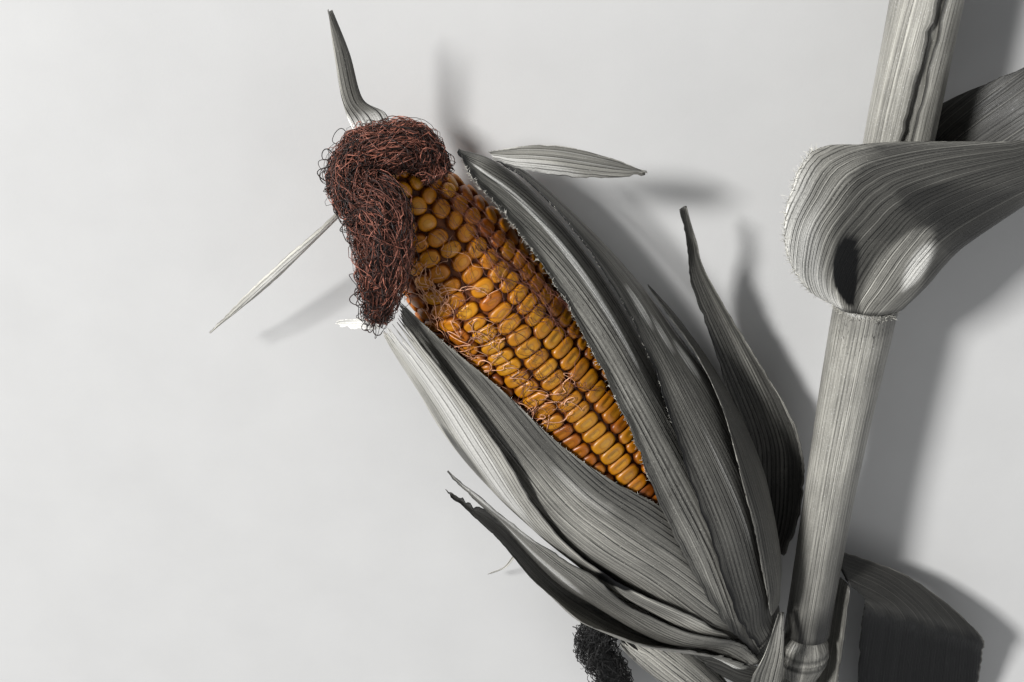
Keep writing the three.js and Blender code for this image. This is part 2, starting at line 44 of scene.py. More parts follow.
# Millimetres in the frame that the shape was drawn in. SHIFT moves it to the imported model's frame.
SHIFT = np.array([132.8812, -60.5337, -1.1746])
EAR_BASE = np.array([76.8, -106.1, 31.0])
EAR_AXIS = np.array([-0.574, 0.819, 0.0])
EAR_SIDE = np.array([0.819, 0.574, 0.0])
UP = np.array([0.0, 0.0, 1.0])
KERNEL_ROWS = 16
FIRST_ROW_ANGLE = 17.5
KERNEL_PITCH = 4.4
KERNELS_FROM = 62.0
KERNELS_TO = 194.0
HUSK_GAP = 0.6
COLLAR_Y = 9.0
BLADE_THICKNESS = 1.4  # of leaves and sheaths in the solids
STALK_ENDS = (-190, 118)
SHEATH_DEPTH = 1.9  # from the outside of a sheath to the bare stalk
SHANK_RADIUS = 5.5
EAR_RADIUS = 20  # about, where loose threads lie
ANY_PHASE = 6.3  # radians, about a full turn

# Along the ear: distance from its base, radius over the kernels.
COB_PROFILE = [
    [0, 9], [5, 11.2], [15, 15.4], [40, 20.3], [60, 22], [100, 22.5],
    [140, 21.6], [165, 19.2], [180, 16.2], [190, 13.6], [197, 10.5], [204, 5.5],
]
# Along the ear: distance from its base, radius of the room inside the husks.
HUSK_PROFILE = [
    [-20, 6.9], [-8, 8.6], [0, 10.6], [5, 12.6], [15, 17.1], [40, 21.6], [60, 22.9],
    [100, 23.2], [150, 22.6], [175, 21.4], [204, 18.5],
]
# Along the stalk: y, x and z of its centre, radius outside its sheath.
STALK_PROFILE = [
    [-190, 98.5, 27.5, 8.8], [-125, 101.8, 28, 8], [-100, 103, 27, 7.9],
    [-47.5, 105.8, 24, 8.6], [0, 109.1, 22.2, 9.9], [84.5, 115, 20, 10.2], [118, 117.2, 19, 10.2],
]

# Each husk: its layer, its rails from one edge to the other as rows of the distance along the ear, the
# angle about it (0 up, 90 towards the stalk) and the lift off its layer.
HUSKS = {
    "husk_left_inner": [0, [
        [[-14, -150, 0], [10, -150, 0], [34, -150, 0], [60, -150, 0], [85, -150, 0], [108, -148, 0],
         [130, -140, 0], [146, -122, 0.5], [152, -92, 1]],
        [[-14, -60, 0], [14, -60, 0], [42, -62, 1.2], [66, -70, 5.5], [85, -74, 7], [104, -76, 5.5],
         [128, -78, 3.5], [148, -74, 1.5], [159, -62, 1]],
        [[-14, 30, 0], [14, 32, 0], [42, 31, 0], [66, 22, 0], [85, 5, 0], [104, -8, 0],
         [128, -17, 0], [150, -31, 0.5], [168, -43, 1]]]],
    "husk_left_middle": [1, [
        [[-14, -140, 0.3], [4, -138, 0.3], [24, -132, 0.3], [44, -119, 3.5], [62, -112, 8], [80, -106, 11.5],
         [97, -100, 13], [118, -96, 13], [138, -93, 9.5], [155, -92, 6.5]],
        [[-12, -12, 0.3], [8, -8, 0.3], [24, -14, 0.4], [40, -28, 1.6], [54, -42, 3], [70, -46, 5.2],
         [90, -43, 5.8], [112, -37, 4.4], [138, -37, 2.8], [166, -38, 2.5]]]],
    "husk_left_outer": [2, [
        [[-12, -122, 0.3], [0, -118, 3], [11, -108, 8], [26, -100, 12], [45, -96, 15], [62, -94, 15.5],
         [78, -91, 15], [92, -84, 15], [110, -72, 15]],
        [[-12, 3, 1], [0, 0, 1], [10, -10, 1], [24, -34, 1.3], [40, -46, 1.6], [54, -44, 3.2],
         [68, -52, 6], [82, -62, 8.6], [96, -66, 11.4], [111, -70, 14]]]],
    "husk_left_lowest": [3, [
        [[-12, -128, 0], [0, -126, 4], [12, -120, 9.5], [28, -114, 14.5], [44, -111, 17.5], [60, -108, 18],
         [76, -103, 17.5], [90, -94, 17.5], [102, -83, 17.5]],
        [[-12, -14, 0.6], [0, -22, 1.3], [12, -36, 3.8], [28, -54, 8.2], [44, -68, 12], [60, -76, 14.5],
         [76, -79, 15], [90, -80, 16], [102, -79, 17]]]],
    "husk_back_inner": [2, [
        [[-10, 152, 0], [20, 150, 0], [60, 150, 0], [100, 150, 0], [135, 152, 0], [158, 164, 0]],
        [[-10, 216, 0], [20, 218, 0], [60, 224, 0], [100, 226, 0], [135, 222, 0], [160, 184, 0]]]],
    "husk_back_outer": [3, [
        [[-10, 152, 0], [20, 156, 0], [55, 160, 0], [90, 164, 0], [118, 174, 0], [138, 192, 0]],
        [[-10, 214, 0], [20, 222, 0], [55, 240, 0], [90, 246, 0], [118, 236, 0], [140, 204, 0]]]],
    "husk_right_inner": [1, [
        [[-10, -4, 0.8], [6, 0, 0.8], [34, 7, 0.9], [68, 19, 1.3], [98, 37, -0.4], [126, 53, -1.4],
         [150, 63, -1.4], [170, 66, -1.4], [183, 66, -1.5], [191, 76, -2]],
        [[-8, 66, 0], [7, 70, 0], [34, 78, 0], [68, 90, 0], [98, 98, 2], [126, 102, 5],
         [150, 102, 5.4], [170, 96, 4.2], [183, 86, 2], [191, 79, -1.5]],
        [[-6, 136, 0], [8, 142, 0], [34, 150, 0], [68, 150, 0], [98, 150, 0], [126, 146, 0],
         [150, 134, 1], [168, 118, 2], [180, 104, 1], [191, 83, -1.5]]]],
    "husk_right_outer": [2, [
        [[-6, 9, 0.8], [6, 11, 0.8], [26, 19, 0.9], [60, 38, 1], [86, 55, 1.8], [106, 71, 3.5],
         [128, 77, 6], [150, 83, 6], [170, 84, 4.5], [182, 81, 1.8]],
        [[-4, 128, 0], [8, 121, 0.5], [26, 116, 3], [50, 113, 9], [74, 110, 11.2], [96, 108, 11.3],
         [118, 106, 11.2], [142, 104, 9], [168, 100, 5.5], [184.6, 90, 2]]]],
    "husk_right_fold": [3, [
        [[3, 44, 1], [12, 43, 1.3], [24, 48, 1.8], [37, 55, 2.6], [50, 62, 4], [63, 73, 5.6],
         [78, 88, 7.8], [93, 97, 9.4], [106, 99, 9.6], [119, 100, 9.8]],
        [[2, 125, 0.6], [12, 121, 2], [24, 119.6, 4.2], [37, 118.6, 6.7], [50, 117.8, 9.1], [63, 116.4, 11.2],
         [78, 114, 12.4], [93, 111, 12.5], [106, 107.5, 11.8], [119, 103, 10.4]]]],
}
# Husks, tips and bracts that stand free, as rails of places.
FREE_HUSKS = {
    "husk_right_free": [
        [[50, 39, 22], [53, 27, 20], [56, 10, 14], [64.6, -12, 11.7], [71.5, -33, 10.9], [77.6, -49, 10.6],
         [80, -63, 11], [82, -78.5, 12], [83.5, -91.8, 13]],
        [[52, 39, 23], [56, 28, 21], [60, 16, 18], [76, -11, 15], [92, -37, 14], [97.6, -52, 14],
         [99, -65, 14], [98.6, -80, 14.4], [95, -93.5, 15.5]]],
    "husk_tip_right": [
        [[-5.5, 60.3, 36.2], [0, 58.2, 36.6], [7, 56.5, 36.6], [15, 55, 36], [26, 53.8, 34],
         [38.6, 52.8, 30]],
        [[-6.8, 62.7, 35.9], [-2, 64.2, 37.4], [6, 66, 39.2], [16, 65.4, 39.4], [30, 60.4, 36.4],
         [39.2, 54, 31]]],
    "husk_tip_left": [
        [[-41.3, 46.9, 21.8], [-57, 32, 22], [-73, 15, 20], [-88, 1, 16], [-97, -6.6, 13]],
        [[-40.9, 51.1, 22.4], [-54, 38, 25], [-71, 22, 22], [-87, 5, 18], [-96.6, -5.6, 14]]],
    "husk_tip_upright": [
        [[-43.6, 59.9, 28], [-46.4, 68, 27.4], [-48.4, 76, 27.4], [-49.4, 89, 29], [-50, 102, 31]],
        [[-34.6, 66, 27.4], [-36.2, 71, 26.8], [-42.6, 75, 26.4], [-45.4, 89, 28.5], [-49, 102, 31.6]]],
    "husk_tip_torn": [
        [[-38.3, 12.9, 45.8], [-44.5, 13.8, 44], [-53, 10.4, 38.5]],
        [[-39.2, 9.4, 42.6], [-45.5, 8.7, 41.5], [-53.8, 7.4, 37]]],
    "husk_base_bract": [
        [[91, -142, 24], [84, -143, 25], [77, -138, 27.5], [68, -130.5, 29.5]],
        [[88, -130.3, 31.2], [80, -126.8, 31], [71, -124.6, 28.5], [63, -126, 27.5]]],
    "sheath_flap": [
        [[89, -99, 39.9], [84.5, -111, 45.9], [81.5, -126, 42], [83, -141, 34.5], [85, -154, 31]],
        [[91, -99, 38.9], [91, -111, 44.9], [92, -126, 42.5], [92, -141, 37.5], [92, -154, 33]]],
}
# The upper leaf's base: rails from its near margin over the fold to its far margin.
UPPER_LEAF_BASE = [
    [[100.2, 9.4, 27.2], [85, 23, 38], [76, 45, 50], [79, 69, 56], [98, 71, 51], [138, 72, 52]],
    [[102.3, 9.4, 31], [96, 21, 34], [93, 40, 43], [98, 57, 50], [109, 61, 50], [141, 66, 49]],
    [[109.9, 9.4, 33.2], [111, 20, 38], [113, 33, 42], [117, 44, 45], [125, 48, 44], [145, 56, 43]],
    [[119.6, 9.4, 28], [125, 19, 31], [128, 25, 32], [132, 31, 32.5], [138, 37, 33], [150, 48, 34]],
    [[119, 9.4, 15], [125, 20, 10], [128, 32, 9], [131, 42, 9], [137, 51, 13], [150, 63, 22]],
    [[107, 9.4, 10.6], [108, 20, 7], [110, 38, 6], [117, 56, 6], [129, 68, 8], [149, 80, 12]],
]
# Its course beyond: x, y, z of the fold, width and spread angle of the near and the far half, the lead
# of each half along the leaf.
UPPER_LEAF_COURSE = [
    [150.4, 48.3, 34, 31, 35, 39, 34, 8, 21],
    [185, 72, 33, 31, 40, 37, 40, 6, 14],
    [230, 84, 30, 28, 45, 31, 50, 3, 6],
    [275, 76, 23, 22, 50, 24, 55, 0, 0],
    [315, 50, 16, 15, 52, 16, 58, 0, 0],
    [345, 18, 7.2, 8, 55, 8, 60, 0, 0],
    [362, -12, 0.6, 1, 60, 1, 60, 0, 0],
]
UPPER_LEAF_JOIN = 0.25
LOWER_LEAF = [
    [[115.4, -96.3, 28.5], [119.8, -101.2, 28.6], [120.5, -104.5, 28.2], [122, -116, 24],
     [126, -149, 16], [134, -182, 8], [150, -214, 2.7], [165.5, -238, 0.2]],
    [[110, -90.5, 13], [139, -102, 15.5], [165, -123, 20], [170, -137, 16], [173, -160, 11], [176, -195, 6],
     [174, -222, 2.2], [168, -239, 0.2]],
]
SHANK = [[92.6, -125.4, 28], [88.6, -124.2, 28.8], [82.6, -114.9, 31], [77.1, -106.5, 31]]
SECOND_EAR_AXIS = [
    [91.7, -164, 24.4], [82, -156.5, 23], [71, -148, 22], [60, -137.5, 21.5], [49, -127.2, 21],
    [40, -120.5, 20],
]
SECOND_EAR_RADIUS = [[0, 3.6], [0.2, 4.4], [0.42, 7.6], [0.65, 9.2], [0.85, 8.6], [1, 6.2]]
SECOND_SILK_PATH = [
    [37.3, -118.9, 19.6], [32.2, -119.1, 19], [29.6, -128.5, 17.5], [33, -141, 14.5], [39, -155, 10.5],
    [43, -167, 7],
]
SECOND_SILK_RADIUS = [[0, 2], [0.15, 4.4], [0.4, 6], [0.75, 5], [1, 2.4]]
# The silk: distance along the ear, angle about it, radius from its axis.
SILK_PATH = [
    [191, 56, 17.3], [198, 56, 17.6], [203, 46, 17], [206.5, 25, 15.5], [207.5, 8, 14.5], [206, -7, 18],
    [201.5, -9, 21.5], [196.5, -4, 24], [190, -9, 26.5], [183.5, -17, 28.5], [177, -27, 30.5], [170, -42, 32],
]
SILK_RADIUS = [[0, 3.4], [0.12, 5.6], [0.3, 6.4], [0.5, 6.8], [0.68, 7.8], [0.85, 6.8], [1, 3]]


# Curves.
def through(knots, values, x):
    """The values at x, smooth through values[i] at knots[i]. Each may hold one row per x."""
    knots = np.asarray(knots, float)
    values = np.asarray(values, float)
    x = np.clip(np.asarray(x, float), knots[0], knots[-1])
    last = len(knots) - 1
    i = np.clip(np.searchsorted(knots, x, side="left") - 1, 0, last - 1)
    before, after = np.maximum(i - 1, 0), np.minimum(i + 2, last)

    def take(k):
        return values[k] if values.ndim == 2 else values[k, np.arange(len(x))]

    a, b = take(i), take(i + 1)
    span = knots[i + 1] - knots[i]
    f = ((x - knots[i]) / span)[:, None]
    slope_a = (b - take(before)) / (knots[i + 1] - knots[before])[:, None]
    slope_b = (take(after) - a) / (knots[after] - knots[i])[:, None]
    f2, f3 = f * f, f * f * f
    return (
        (2 * f3 - 3 * f2 + 1) * a
        + (f3 - 2 * f2 + f) * span[:, None] * slope_a
        + (3 * f2 - 2 * f3) * b
        + (f3 - f2) * span[:, None] * slope_b
    )


def table(rows, x):
    rows = np.asarray(rows, float)
    return through(rows[:, 0], rows[:, 1:], np.atleast_1d(x))


def value(rows, x):
    """The first value of a table at each x, in the shape of x."""
    return table(rows, np.ravel(x))[:, 0].reshape(np.shape(x))


def along(rail, v):
    return through(np.linspace(0, 1, len(rail)), rail, v)


def across(rails, u, v):
    rows = np.stack([along(rail, v) for rail in rails])
    return through(np.linspace(0, 1, len(rails)), rows, u)


def smooth(x, low=0.0, high=1.0):
    f = np.clip((x - low) / (high - low), 0, 1)
    return f * f * (3 - 2 * f)


WAVES = 7


def waves(x, y, seed, size):
    """Smooth noise about -1..1 over a plane, from seeded waves about size long."""
    random = np.random.default_rng(seed)
    total = 0
    for _ in range(WAVES):
        way = random.uniform(0, 2 * np.pi)
        length = size * random.uniform(0.5, 1.6)
        phase = random.uniform(0, 2 * np.pi)
        total = total + np.sin(2 * np.pi * (x * np.cos(way) + y * np.sin(way)) / length + phase)
    return total / (WAVES / 2)


def unit(v):
    return v / (np.linalg.norm(v, axis=-1, keepdims=True) + 1e-12)


OFF_AXIS = unit(np.array([0.13, 0.21, 1.0]))  # a direction that no path here runs along


def sideways(ahead):
    """Two directions square to each direction of a path."""
    right = unit(np.cross(OFF_AXIS, ahead))
    return right, np.cross(ahead, right)


# Places.
def ear_point(t, angle, radius):
    t, angle, radius = np.broadcast_arrays(t, np.radians(angle), radius)
    return (
        EAR_BASE
        + t[..., None] * EAR_AXIS
        + (radius * np.sin(angle))[..., None] * EAR_SIDE
        + (radius * np.cos(angle))[..., None] * UP
    )


def husk_thickness(t):
    return 1.0 + 0.8 * np.clip(t / 40, 0, 1)


def layer_radius(t, layer):
    thickness = husk_thickness(t)
    return value(HUSK_PROFILE, t) + thickness / 2 + layer * (thickness + HUSK_GAP)


def stalk_point(y, angle, outward):
    x, z, radius = table(STALK_PROFILE, y).T
    angle = np.radians(angle)
    reach = radius + outward
    return np.stack([x + reach * np.sin(angle), y + 0 * angle, z + reach * np.cos(angle)], -1)


# Meshes.
def in_scene(name, data):
    made = bpy.data.objects.new(name, data)
    bpy.context.scene.collection.objects.link(made)
    return made


def piece(name, points, faces, nodes, materials, grain=None, look=None, face_material=None):
    """A smooth mesh, from points in construction millimetres, that stands for some of the nodes."""
    mesh = bpy.data.meshes.new(name)
    faces = faces.tolist() if isinstance(faces, np.ndarray) else faces
    mesh.from_pydata(((points - SHIFT) * MM).tolist(), [], faces)
    for attribute, values in (("grain", grain), ("look", look)):
        if values is not None:
            made = mesh.attributes.new(attribute, "FLOAT_VECTOR", "POINT")
            made.data.foreach_set("vector", np.asarray(values, np.float32).ravel())
    mesh.polygons.foreach_set("use_smooth", np.ones(len(mesh.polygons), bool))
    for material in materials:
        mesh.materials.append(material)
    if face_material is not None:
        mesh.polygons.foreach_set("material_index", np.asarray(face_material, np.int32))
    mesh.update()
    made = in_scene(name, mesh)
    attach(made, "root")
    if nodes:
        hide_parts(*nodes)


def grid(columns, rows):
    v, u = np.meshgrid(np.linspace(0, 1, rows + 1), np.linspace(0, 1, columns + 1), indexing="ij")
    return u.ravel(), v.ravel()


def grid_normals(points, columns, rows):
    p = points.reshape(rows + 1, columns + 1, 3)
    normals = np.cross(np.gradient(p, axis=1), np.gradient(p, axis=0))
    return unit(normals).reshape(-1, 3)


def sheet_faces(columns, rows):
    at = np.arange((columns + 1) * (rows + 1)).reshape(rows + 1, columns + 1)
    count = at.size
    a, b, c, d = at[:-1, :-1], at[:-1, 1:], at[1:, 1:], at[1:, :-1]
    l0, l1, r0, r1 = at[:-1, 0], at[1:, 0], at[:-1, -1], at[1:, -1]
    s0, s1, e0, e1 = at[0, :-1], at[0, 1:], at[-1, :-1], at[-1, 1:]
    parts = [
        (a, b, c, d),
        (a + count, d + count, c + count, b + count),
        (l0, l1, l1 + count, l0 + count),
        (r0, r0 + count, r1 + count, r1),
        (s0, s0 + count, s1 + count, s1),
        (e0, e1, e1 + count, e0 + count),
    ]
    return np.concatenate([np.stack([x.ravel() for x in part], -1) for part in parts])


def spans(points, columns, rows):
    """The width of each row of a grid of points, and their mean length."""
    p = points.reshape(rows + 1, columns + 1, 3)
    widths = np.linalg.norm(np.diff(p, axis=1), axis=2).sum(1)
    return widths, np.linalg.norm(np.diff(p, axis=0), axis=2).sum(0).mean()


# How a sheet is finished. Lengths are millimetres.
PLAIN = {
    "thickness": 0.55,
    "rib": 1.5,  # distance between two ribs at the widest
    "rib_height": 0.055,
    "row": 2.6,  # distance between two rows of the mesh
    "crease": 0.13,  # long folds that run with the ribs
    "crease_size": 9.0,
    "swell": 0.22,  # slow waves
    "swell_size": 30.0,
    "frill": 0.0,  # waves of the two margins
    "ragged": (0.0, 0.0),  # depth of the notches in the two margins
    "ragged_tip": 0.0,
    "roll": (0.0, 0.0),  # lift of the two margins
    "margin": (0.0, 0.0),  # how dark the two margins are
    "margin_width": 2.2,
    "speck": 0.12,
    "tone": 1.0,
    "pale": 0.0,
    "marks": (),  # (what, how much, from u, to u, from v, to v, softness)
}
CHANNELS = {"tone": 0, "speck": 1, "pale": 2}
SHEETS = {}  # the middle of each finished sheet, as rows of points
MEASURED = 24  # columns and rows of the grid that a sheet is measured on
FACES_PER_RIB = 4


def notches(y, seed, depth):
    """How far a torn margin stands back along its length: small bites and a few deep ones."""
    bites = np.abs(waves(y, 0, seed, 5)) + 0.5 * np.abs(waves(y, 0, seed + 7, 1.9))
    return depth * np.clip(bites, 0, 1.6)


def narrowed(v, across_range, along_range):
    """Both sides of a mark at each v. It narrows to those of its ends that lie within the sheet."""
    (u0, u1), (v0, v1) = across_range, along_range
    if (u0 < 0 and u1 > 1) or (v0 < 0 and v1 > 1):
        return u0, u1
    middle = v0 if v0 < 0 else v1 if v1 > 1 else (v0 + v1) / 2
    share = np.sqrt(np.clip(1 - ((v - middle) / max(v1 - middle, middle - v0)) ** 2, 0, 1))
    fixed = 0 if u0 < 0 else 1 if u1 > 1 else (u0 + u1) / 2
    return fixed + (u0 - fixed) * share, fixed + (u1 - fixed) * share


def sheet(name, surface, seed, nodes, slot, material, **finish):
    """A thin ribbed sheet about surface(u, v), with margins, waves, notches and marks of its own."""
    f = {**PLAIN, **finish}
    u, v = grid(MEASURED, MEASURED)
    widths, length = spans(surface(u, v), MEASURED, MEASURED)
    columns = max(12, math.ceil(widths.max() / f["rib"] * FACES_PER_RIB))
    rows = max(8, math.ceil(length / f["row"]))
    u, v = grid(columns, rows)
    width = np.maximum(np.interp(v, np.linspace(0, 1, MEASURED + 1), widths), 2)
    left, right, y = u * width, (1 - u) * width, v * length
    # The ribs draw together where the sheet narrows, but less than its margins do.
    x = (u - 0.5) * (0.4 * widths.max() + 0.6 * width) + 0.5 * widths.max()
    low, high = (notches(y, seed + k, depth) for k, depth in enumerate(f["ragged"]))
    reach = [1 + 4 * depth for depth in f["ragged"]]
    torn = low * smooth(1 - left / reach[0]) - high * smooth(1 - right / reach[1])
    tip = f["ragged_tip"] / length * np.clip(np.abs(waves(x, 0, seed + 3, 4)), 0, 1.5) * smooth(v, 0.8, 1)
    middle = surface(np.clip(u + torn / width, 0, 1), np.clip(v - tip, 0, 1))
    normals = grid_normals(middle, columns, rows)
    edge = np.minimum(left, right)
    inside = smooth(edge, 0, 3)
    ribs = np.sin(2 * np.pi * x / f["rib"] + 1.5 * waves(x, 0, seed + 5, 11))
    lift = f["rib_height"] * ribs * (0.6 + 0.4 * waves(x, 0.1 * y, seed + 9, 6)) * inside
    lift = lift + f["crease"] * waves(x, 0.06 * y, seed + 6, f["crease_size"]) * inside
    lift = lift + f["swell"] * waves(x, y * 0.5, seed + 1, f["swell_size"])
    lift = lift + f["frill"] * waves(y, 0, seed + 2, 22) * smooth(np.abs(u - 0.5), 0.25, 0.5)
    lift = lift + f["roll"][0] * smooth(1 - left / 3.0) + f["roll"][1] * smooth(1 - right / 3.0)
    middle = middle + normals * lift[:, None]
    SHEETS[name] = middle.reshape(rows + 1, columns + 1, 3)
    normals = grid_normals(middle, columns, rows)
    half = f["thickness"] / 2 * (0.35 + 0.65 * smooth(edge, 0, 2.5)) * (0.4 + 0.6 * smooth(1 - v, 0, 0.03))
    points = np.concatenate([middle + normals * half[:, None], middle - normals * half[:, None]])
    look = np.zeros((len(u), 3))
    look[:, 0], look[:, 1], look[:, 2] = f["tone"], f["speck"], f["pale"]
    for side, dark in zip((left, right), f["margin"]):
        band = smooth(1 - side / (f["margin_width"] * (1 + 0.35 * waves(y, 0, seed + 11, 9))))
        look[:, 0] -= dark * band
        look[:, 1] += 0.6 * max(dark, 0) * band
    # Marks add tone, specks or pale patches: the specks are real wear, and many tone and pale marks are
    # painted shade and painted highlights.
    for what, amount, u0, u1, v0, v1, soft in f["marks"]:
        shake = 0.4 * soft * waves(x, y * 0.15, seed + 13, 9)
        low, high = narrowed(v, (u0, u1), (v0, v1))
        mark = smooth(u + shake - low, -soft, soft) * smooth(high - u + shake, -soft, soft)
        ends = (v + shake - v0, v1 - v + shake)
        mark = mark * smooth(ends[0], -2 * soft, 2 * soft) * smooth(ends[1], -2 * soft, 2 * soft)
        look[:, CHANNELS[what]] += amount * mark
    grain = np.stack([x + 40 * seed, y, np.full(len(u), float(seed))], -1)
    piece(
        name, points, sheet_faces(columns, rows), nodes, [material],
        np.tile(grain, (2, 1)), np.tile(np.clip(look, 0, 3), (2, 1)),
    )


def tube_faces(around, rings):
    """The quads of a closed tube and one many-sided face at each end."""
    at = np.arange(around * rings).reshape(rings, around)
    turned = np.roll(at, -1, axis=1)
    quads = np.stack([at[:-1], turned[:-1], turned[1:], at[1:]], -1).reshape(-1, 4)
    return quads.tolist() + [at[0][::-1].tolist(), at[-1].tolist()]


def path_sides(path):
    return sideways(unit(np.gradient(path, axis=-2)))


def tube(name, path, angle, radius, nodes, material, look, grain=None):
    """A closed tube about a path. radius has one value for each side, each ring or each point."""
    right, top = path_sides(path)
    turn = np.radians(angle)[:, None]
    rings = path[:, None] + (right[:, None] * np.cos(turn) + top[:, None] * np.sin(turn)) * radius[..., None]
    look = np.broadcast_to(look, rings.shape)
    piece(name, rings.reshape(-1, 3), tube_faces(len(angle), len(path)), nodes, [material], grain, look)


STRAND_SIDES = 3
STRAND_END = 0.35  # the radius of a strand's far end, as a share of its near end's


def strand_mesh(paths, radii):
    """Points and triangles of many thin tubes. paths is (strands, points, 3), radii one per strand."""
    count, steps, _ = paths.shape
    right, top = path_sides(paths)
    angles = 2 * np.pi * np.arange(STRAND_SIDES) / STRAND_SIDES
    ring = right[:, :, None] * np.cos(angles)[:, None] + top[:, :, None] * np.sin(angles)[:, None]
    taper = 1 - (1 - STRAND_END) * np.linspace(0, 1, steps) ** 2
    points = paths[:, :, None] + ring * (radii[:, None] * taper)[:, :, None, None]
    at = np.arange(count * steps * STRAND_SIDES).reshape(count, steps, STRAND_SIDES)
    turned = np.roll(at, -1, axis=2)
    a, b, c, d = at[:, :-1], turned[:, :-1], turned[:, 1:], at[:, 1:]
    walls = [np.stack(corners, -1).reshape(-1, 3) for corners in ([a, b, c], [a, c, d])]
    return points.reshape(-1, 3), np.concatenate([*walls, at[:, 0, [0, 2, 1]], at[:, -1]])


# Materials.
class Shader:
    """A Principled material, and short ways to make the nodes that feed it."""

    def __init__(self, name, **sockets):
        self.material = bpy.data.materials.new(name)
        self.material.use_nodes = True
        self.tree = self.material.node_tree
        self.shader = self.tree.nodes["Principled BSDF"]
        for key, value in sockets.items():
            self.shader.inputs[key.replace("_", " ")].default_value = value

    def node(self, kind, inputs=(), **settings):
        made = self.tree.nodes.new(kind)
        for key, value in settings.items():
            setattr(made, key, value)
        for key, value in dict(inputs).items():
            self.join(value, made.inputs[key])
        return made

    def join(self, value, socket):
        if isinstance(value, bpy.types.NodeSocket):
            self.tree.links.new(value, socket)
        elif isinstance(value, tuple) and len(value) == 3 and socket.type == "RGBA":
            socket.default_value = (*value, 1)
        else:
            socket.default_value = value

    def attribute(self, name):
        return self.node("ShaderNodeAttribute", attribute_name=name).outputs["Vector"]

    def place(self):
        return self.node("ShaderNodeTexCoord").outputs["Object"]

    def split(self, vector):
        made = self.node("ShaderNodeSeparateXYZ", {"Vector": vector})
        return made.outputs["X"], made.outputs["Y"], made.outputs["Z"]

    def math(self, operation, a, b=0.0, clamp=False):
        made = self.node("ShaderNodeMath", {0: a, 1: b}, operation=operation, use_clamp=clamp)
        return made.outputs[0]

    def plus(self, a, b):
        return self.math("ADD", a, b)

    def times(self, a, b, clamp=False):
        return self.math("MULTIPLY", a, b, clamp)

    def scaled(self, vector, by):
        made = self.node("ShaderNodeVectorMath", {0: vector, 1: by}, operation="MULTIPLY")
        return made.outputs[0]

    def noise(self, vector, scale, detail, roughness):
        settings = {"Vector": vector, "Scale": scale, "Detail": detail, "Roughness": roughness}
        return self.node("ShaderNodeTexNoise", settings).outputs["Fac"]

    def ramp(self, value, stops):
        made = self.node("ShaderNodeValToRGB", {"Fac": value})
        elements = made.color_ramp.elements
        for k, (at, colour) in enumerate(stops):
            element = elements[k] if k < 2 else elements.new(at)
            element.position = at
            element.color = (*colour, 1)
        return made.outputs["Color"]

    def mix(self, share, a, b, blend="MIX"):
        """Two colours mixed. By number, a mix node's colour sockets are 0, 6 and 7 in and 2 out."""
        made = self.node("ShaderNodeMix", data_type="RGBA", blend_type=blend)
        self.join(share, made.inputs[0])
        self.join(a, made.inputs[6])
        self.join(b, made.inputs[7])
        return made.outputs[2]

    def shade(self, colour, by):
        level = self.node("ShaderNodeCombineXYZ", {0: by, 1: by, 2: by}).outputs[0]
        return self.mix(1.0, colour, level, "MULTIPLY")

    def lines(self, x, pitch, width):
        """Lines a pitch apart across x, each of its own strength. width is a share of the pitch."""
        at = self.math("DIVIDE", x, pitch)
        line = self.math("ROUND", at)
        away = self.math("ABSOLUTE", self.math("SUBTRACT", at, line))
        strength = self.node("ShaderNodeTexWhiteNoise", {"W": line}, noise_dimensions="1D").outputs["Value"]
        return self.times(self.span(away, width * 0.4, width, 1, 0), self.span(strength, 0, 0.5))

    def span(self, value, low, high, to_low=0.0, to_high=1.0):
        names = ("Value", "From Min", "From Max", "To Min", "To Max")
        inputs = dict(zip(names, (value, low, high, to_low, to_high)))
        return self.node("ShaderNodeMapRange", inputs, clamp=True).outputs[0]

    def finish(self, colour, height, distance, strength, roughness=None):
        """The material, with its bump from a height. distance is in metres."""
        self.join(colour, self.shader.inputs["Base Color"])
        if roughness is not None:
            self.join(roughness, self.shader.inputs["Roughness"])
        bump = self.node("ShaderNodeBump", {"Height": height, "Distance": distance, "Strength": strength})
        self.join(bump.outputs["Normal"], self.shader.inputs["Normal"])
        return self.material


# The colour of pale patches: real bleach on the tips, and painted highlights.
BLEACH_AND_HIGHLIGHT = (0.80, 0.785, 0.74)
MOULD = (0.014, 0.011, 0.009)


def tint(colour, by, top=1.0):
    return tuple(min(top, c * by) for c in colour)


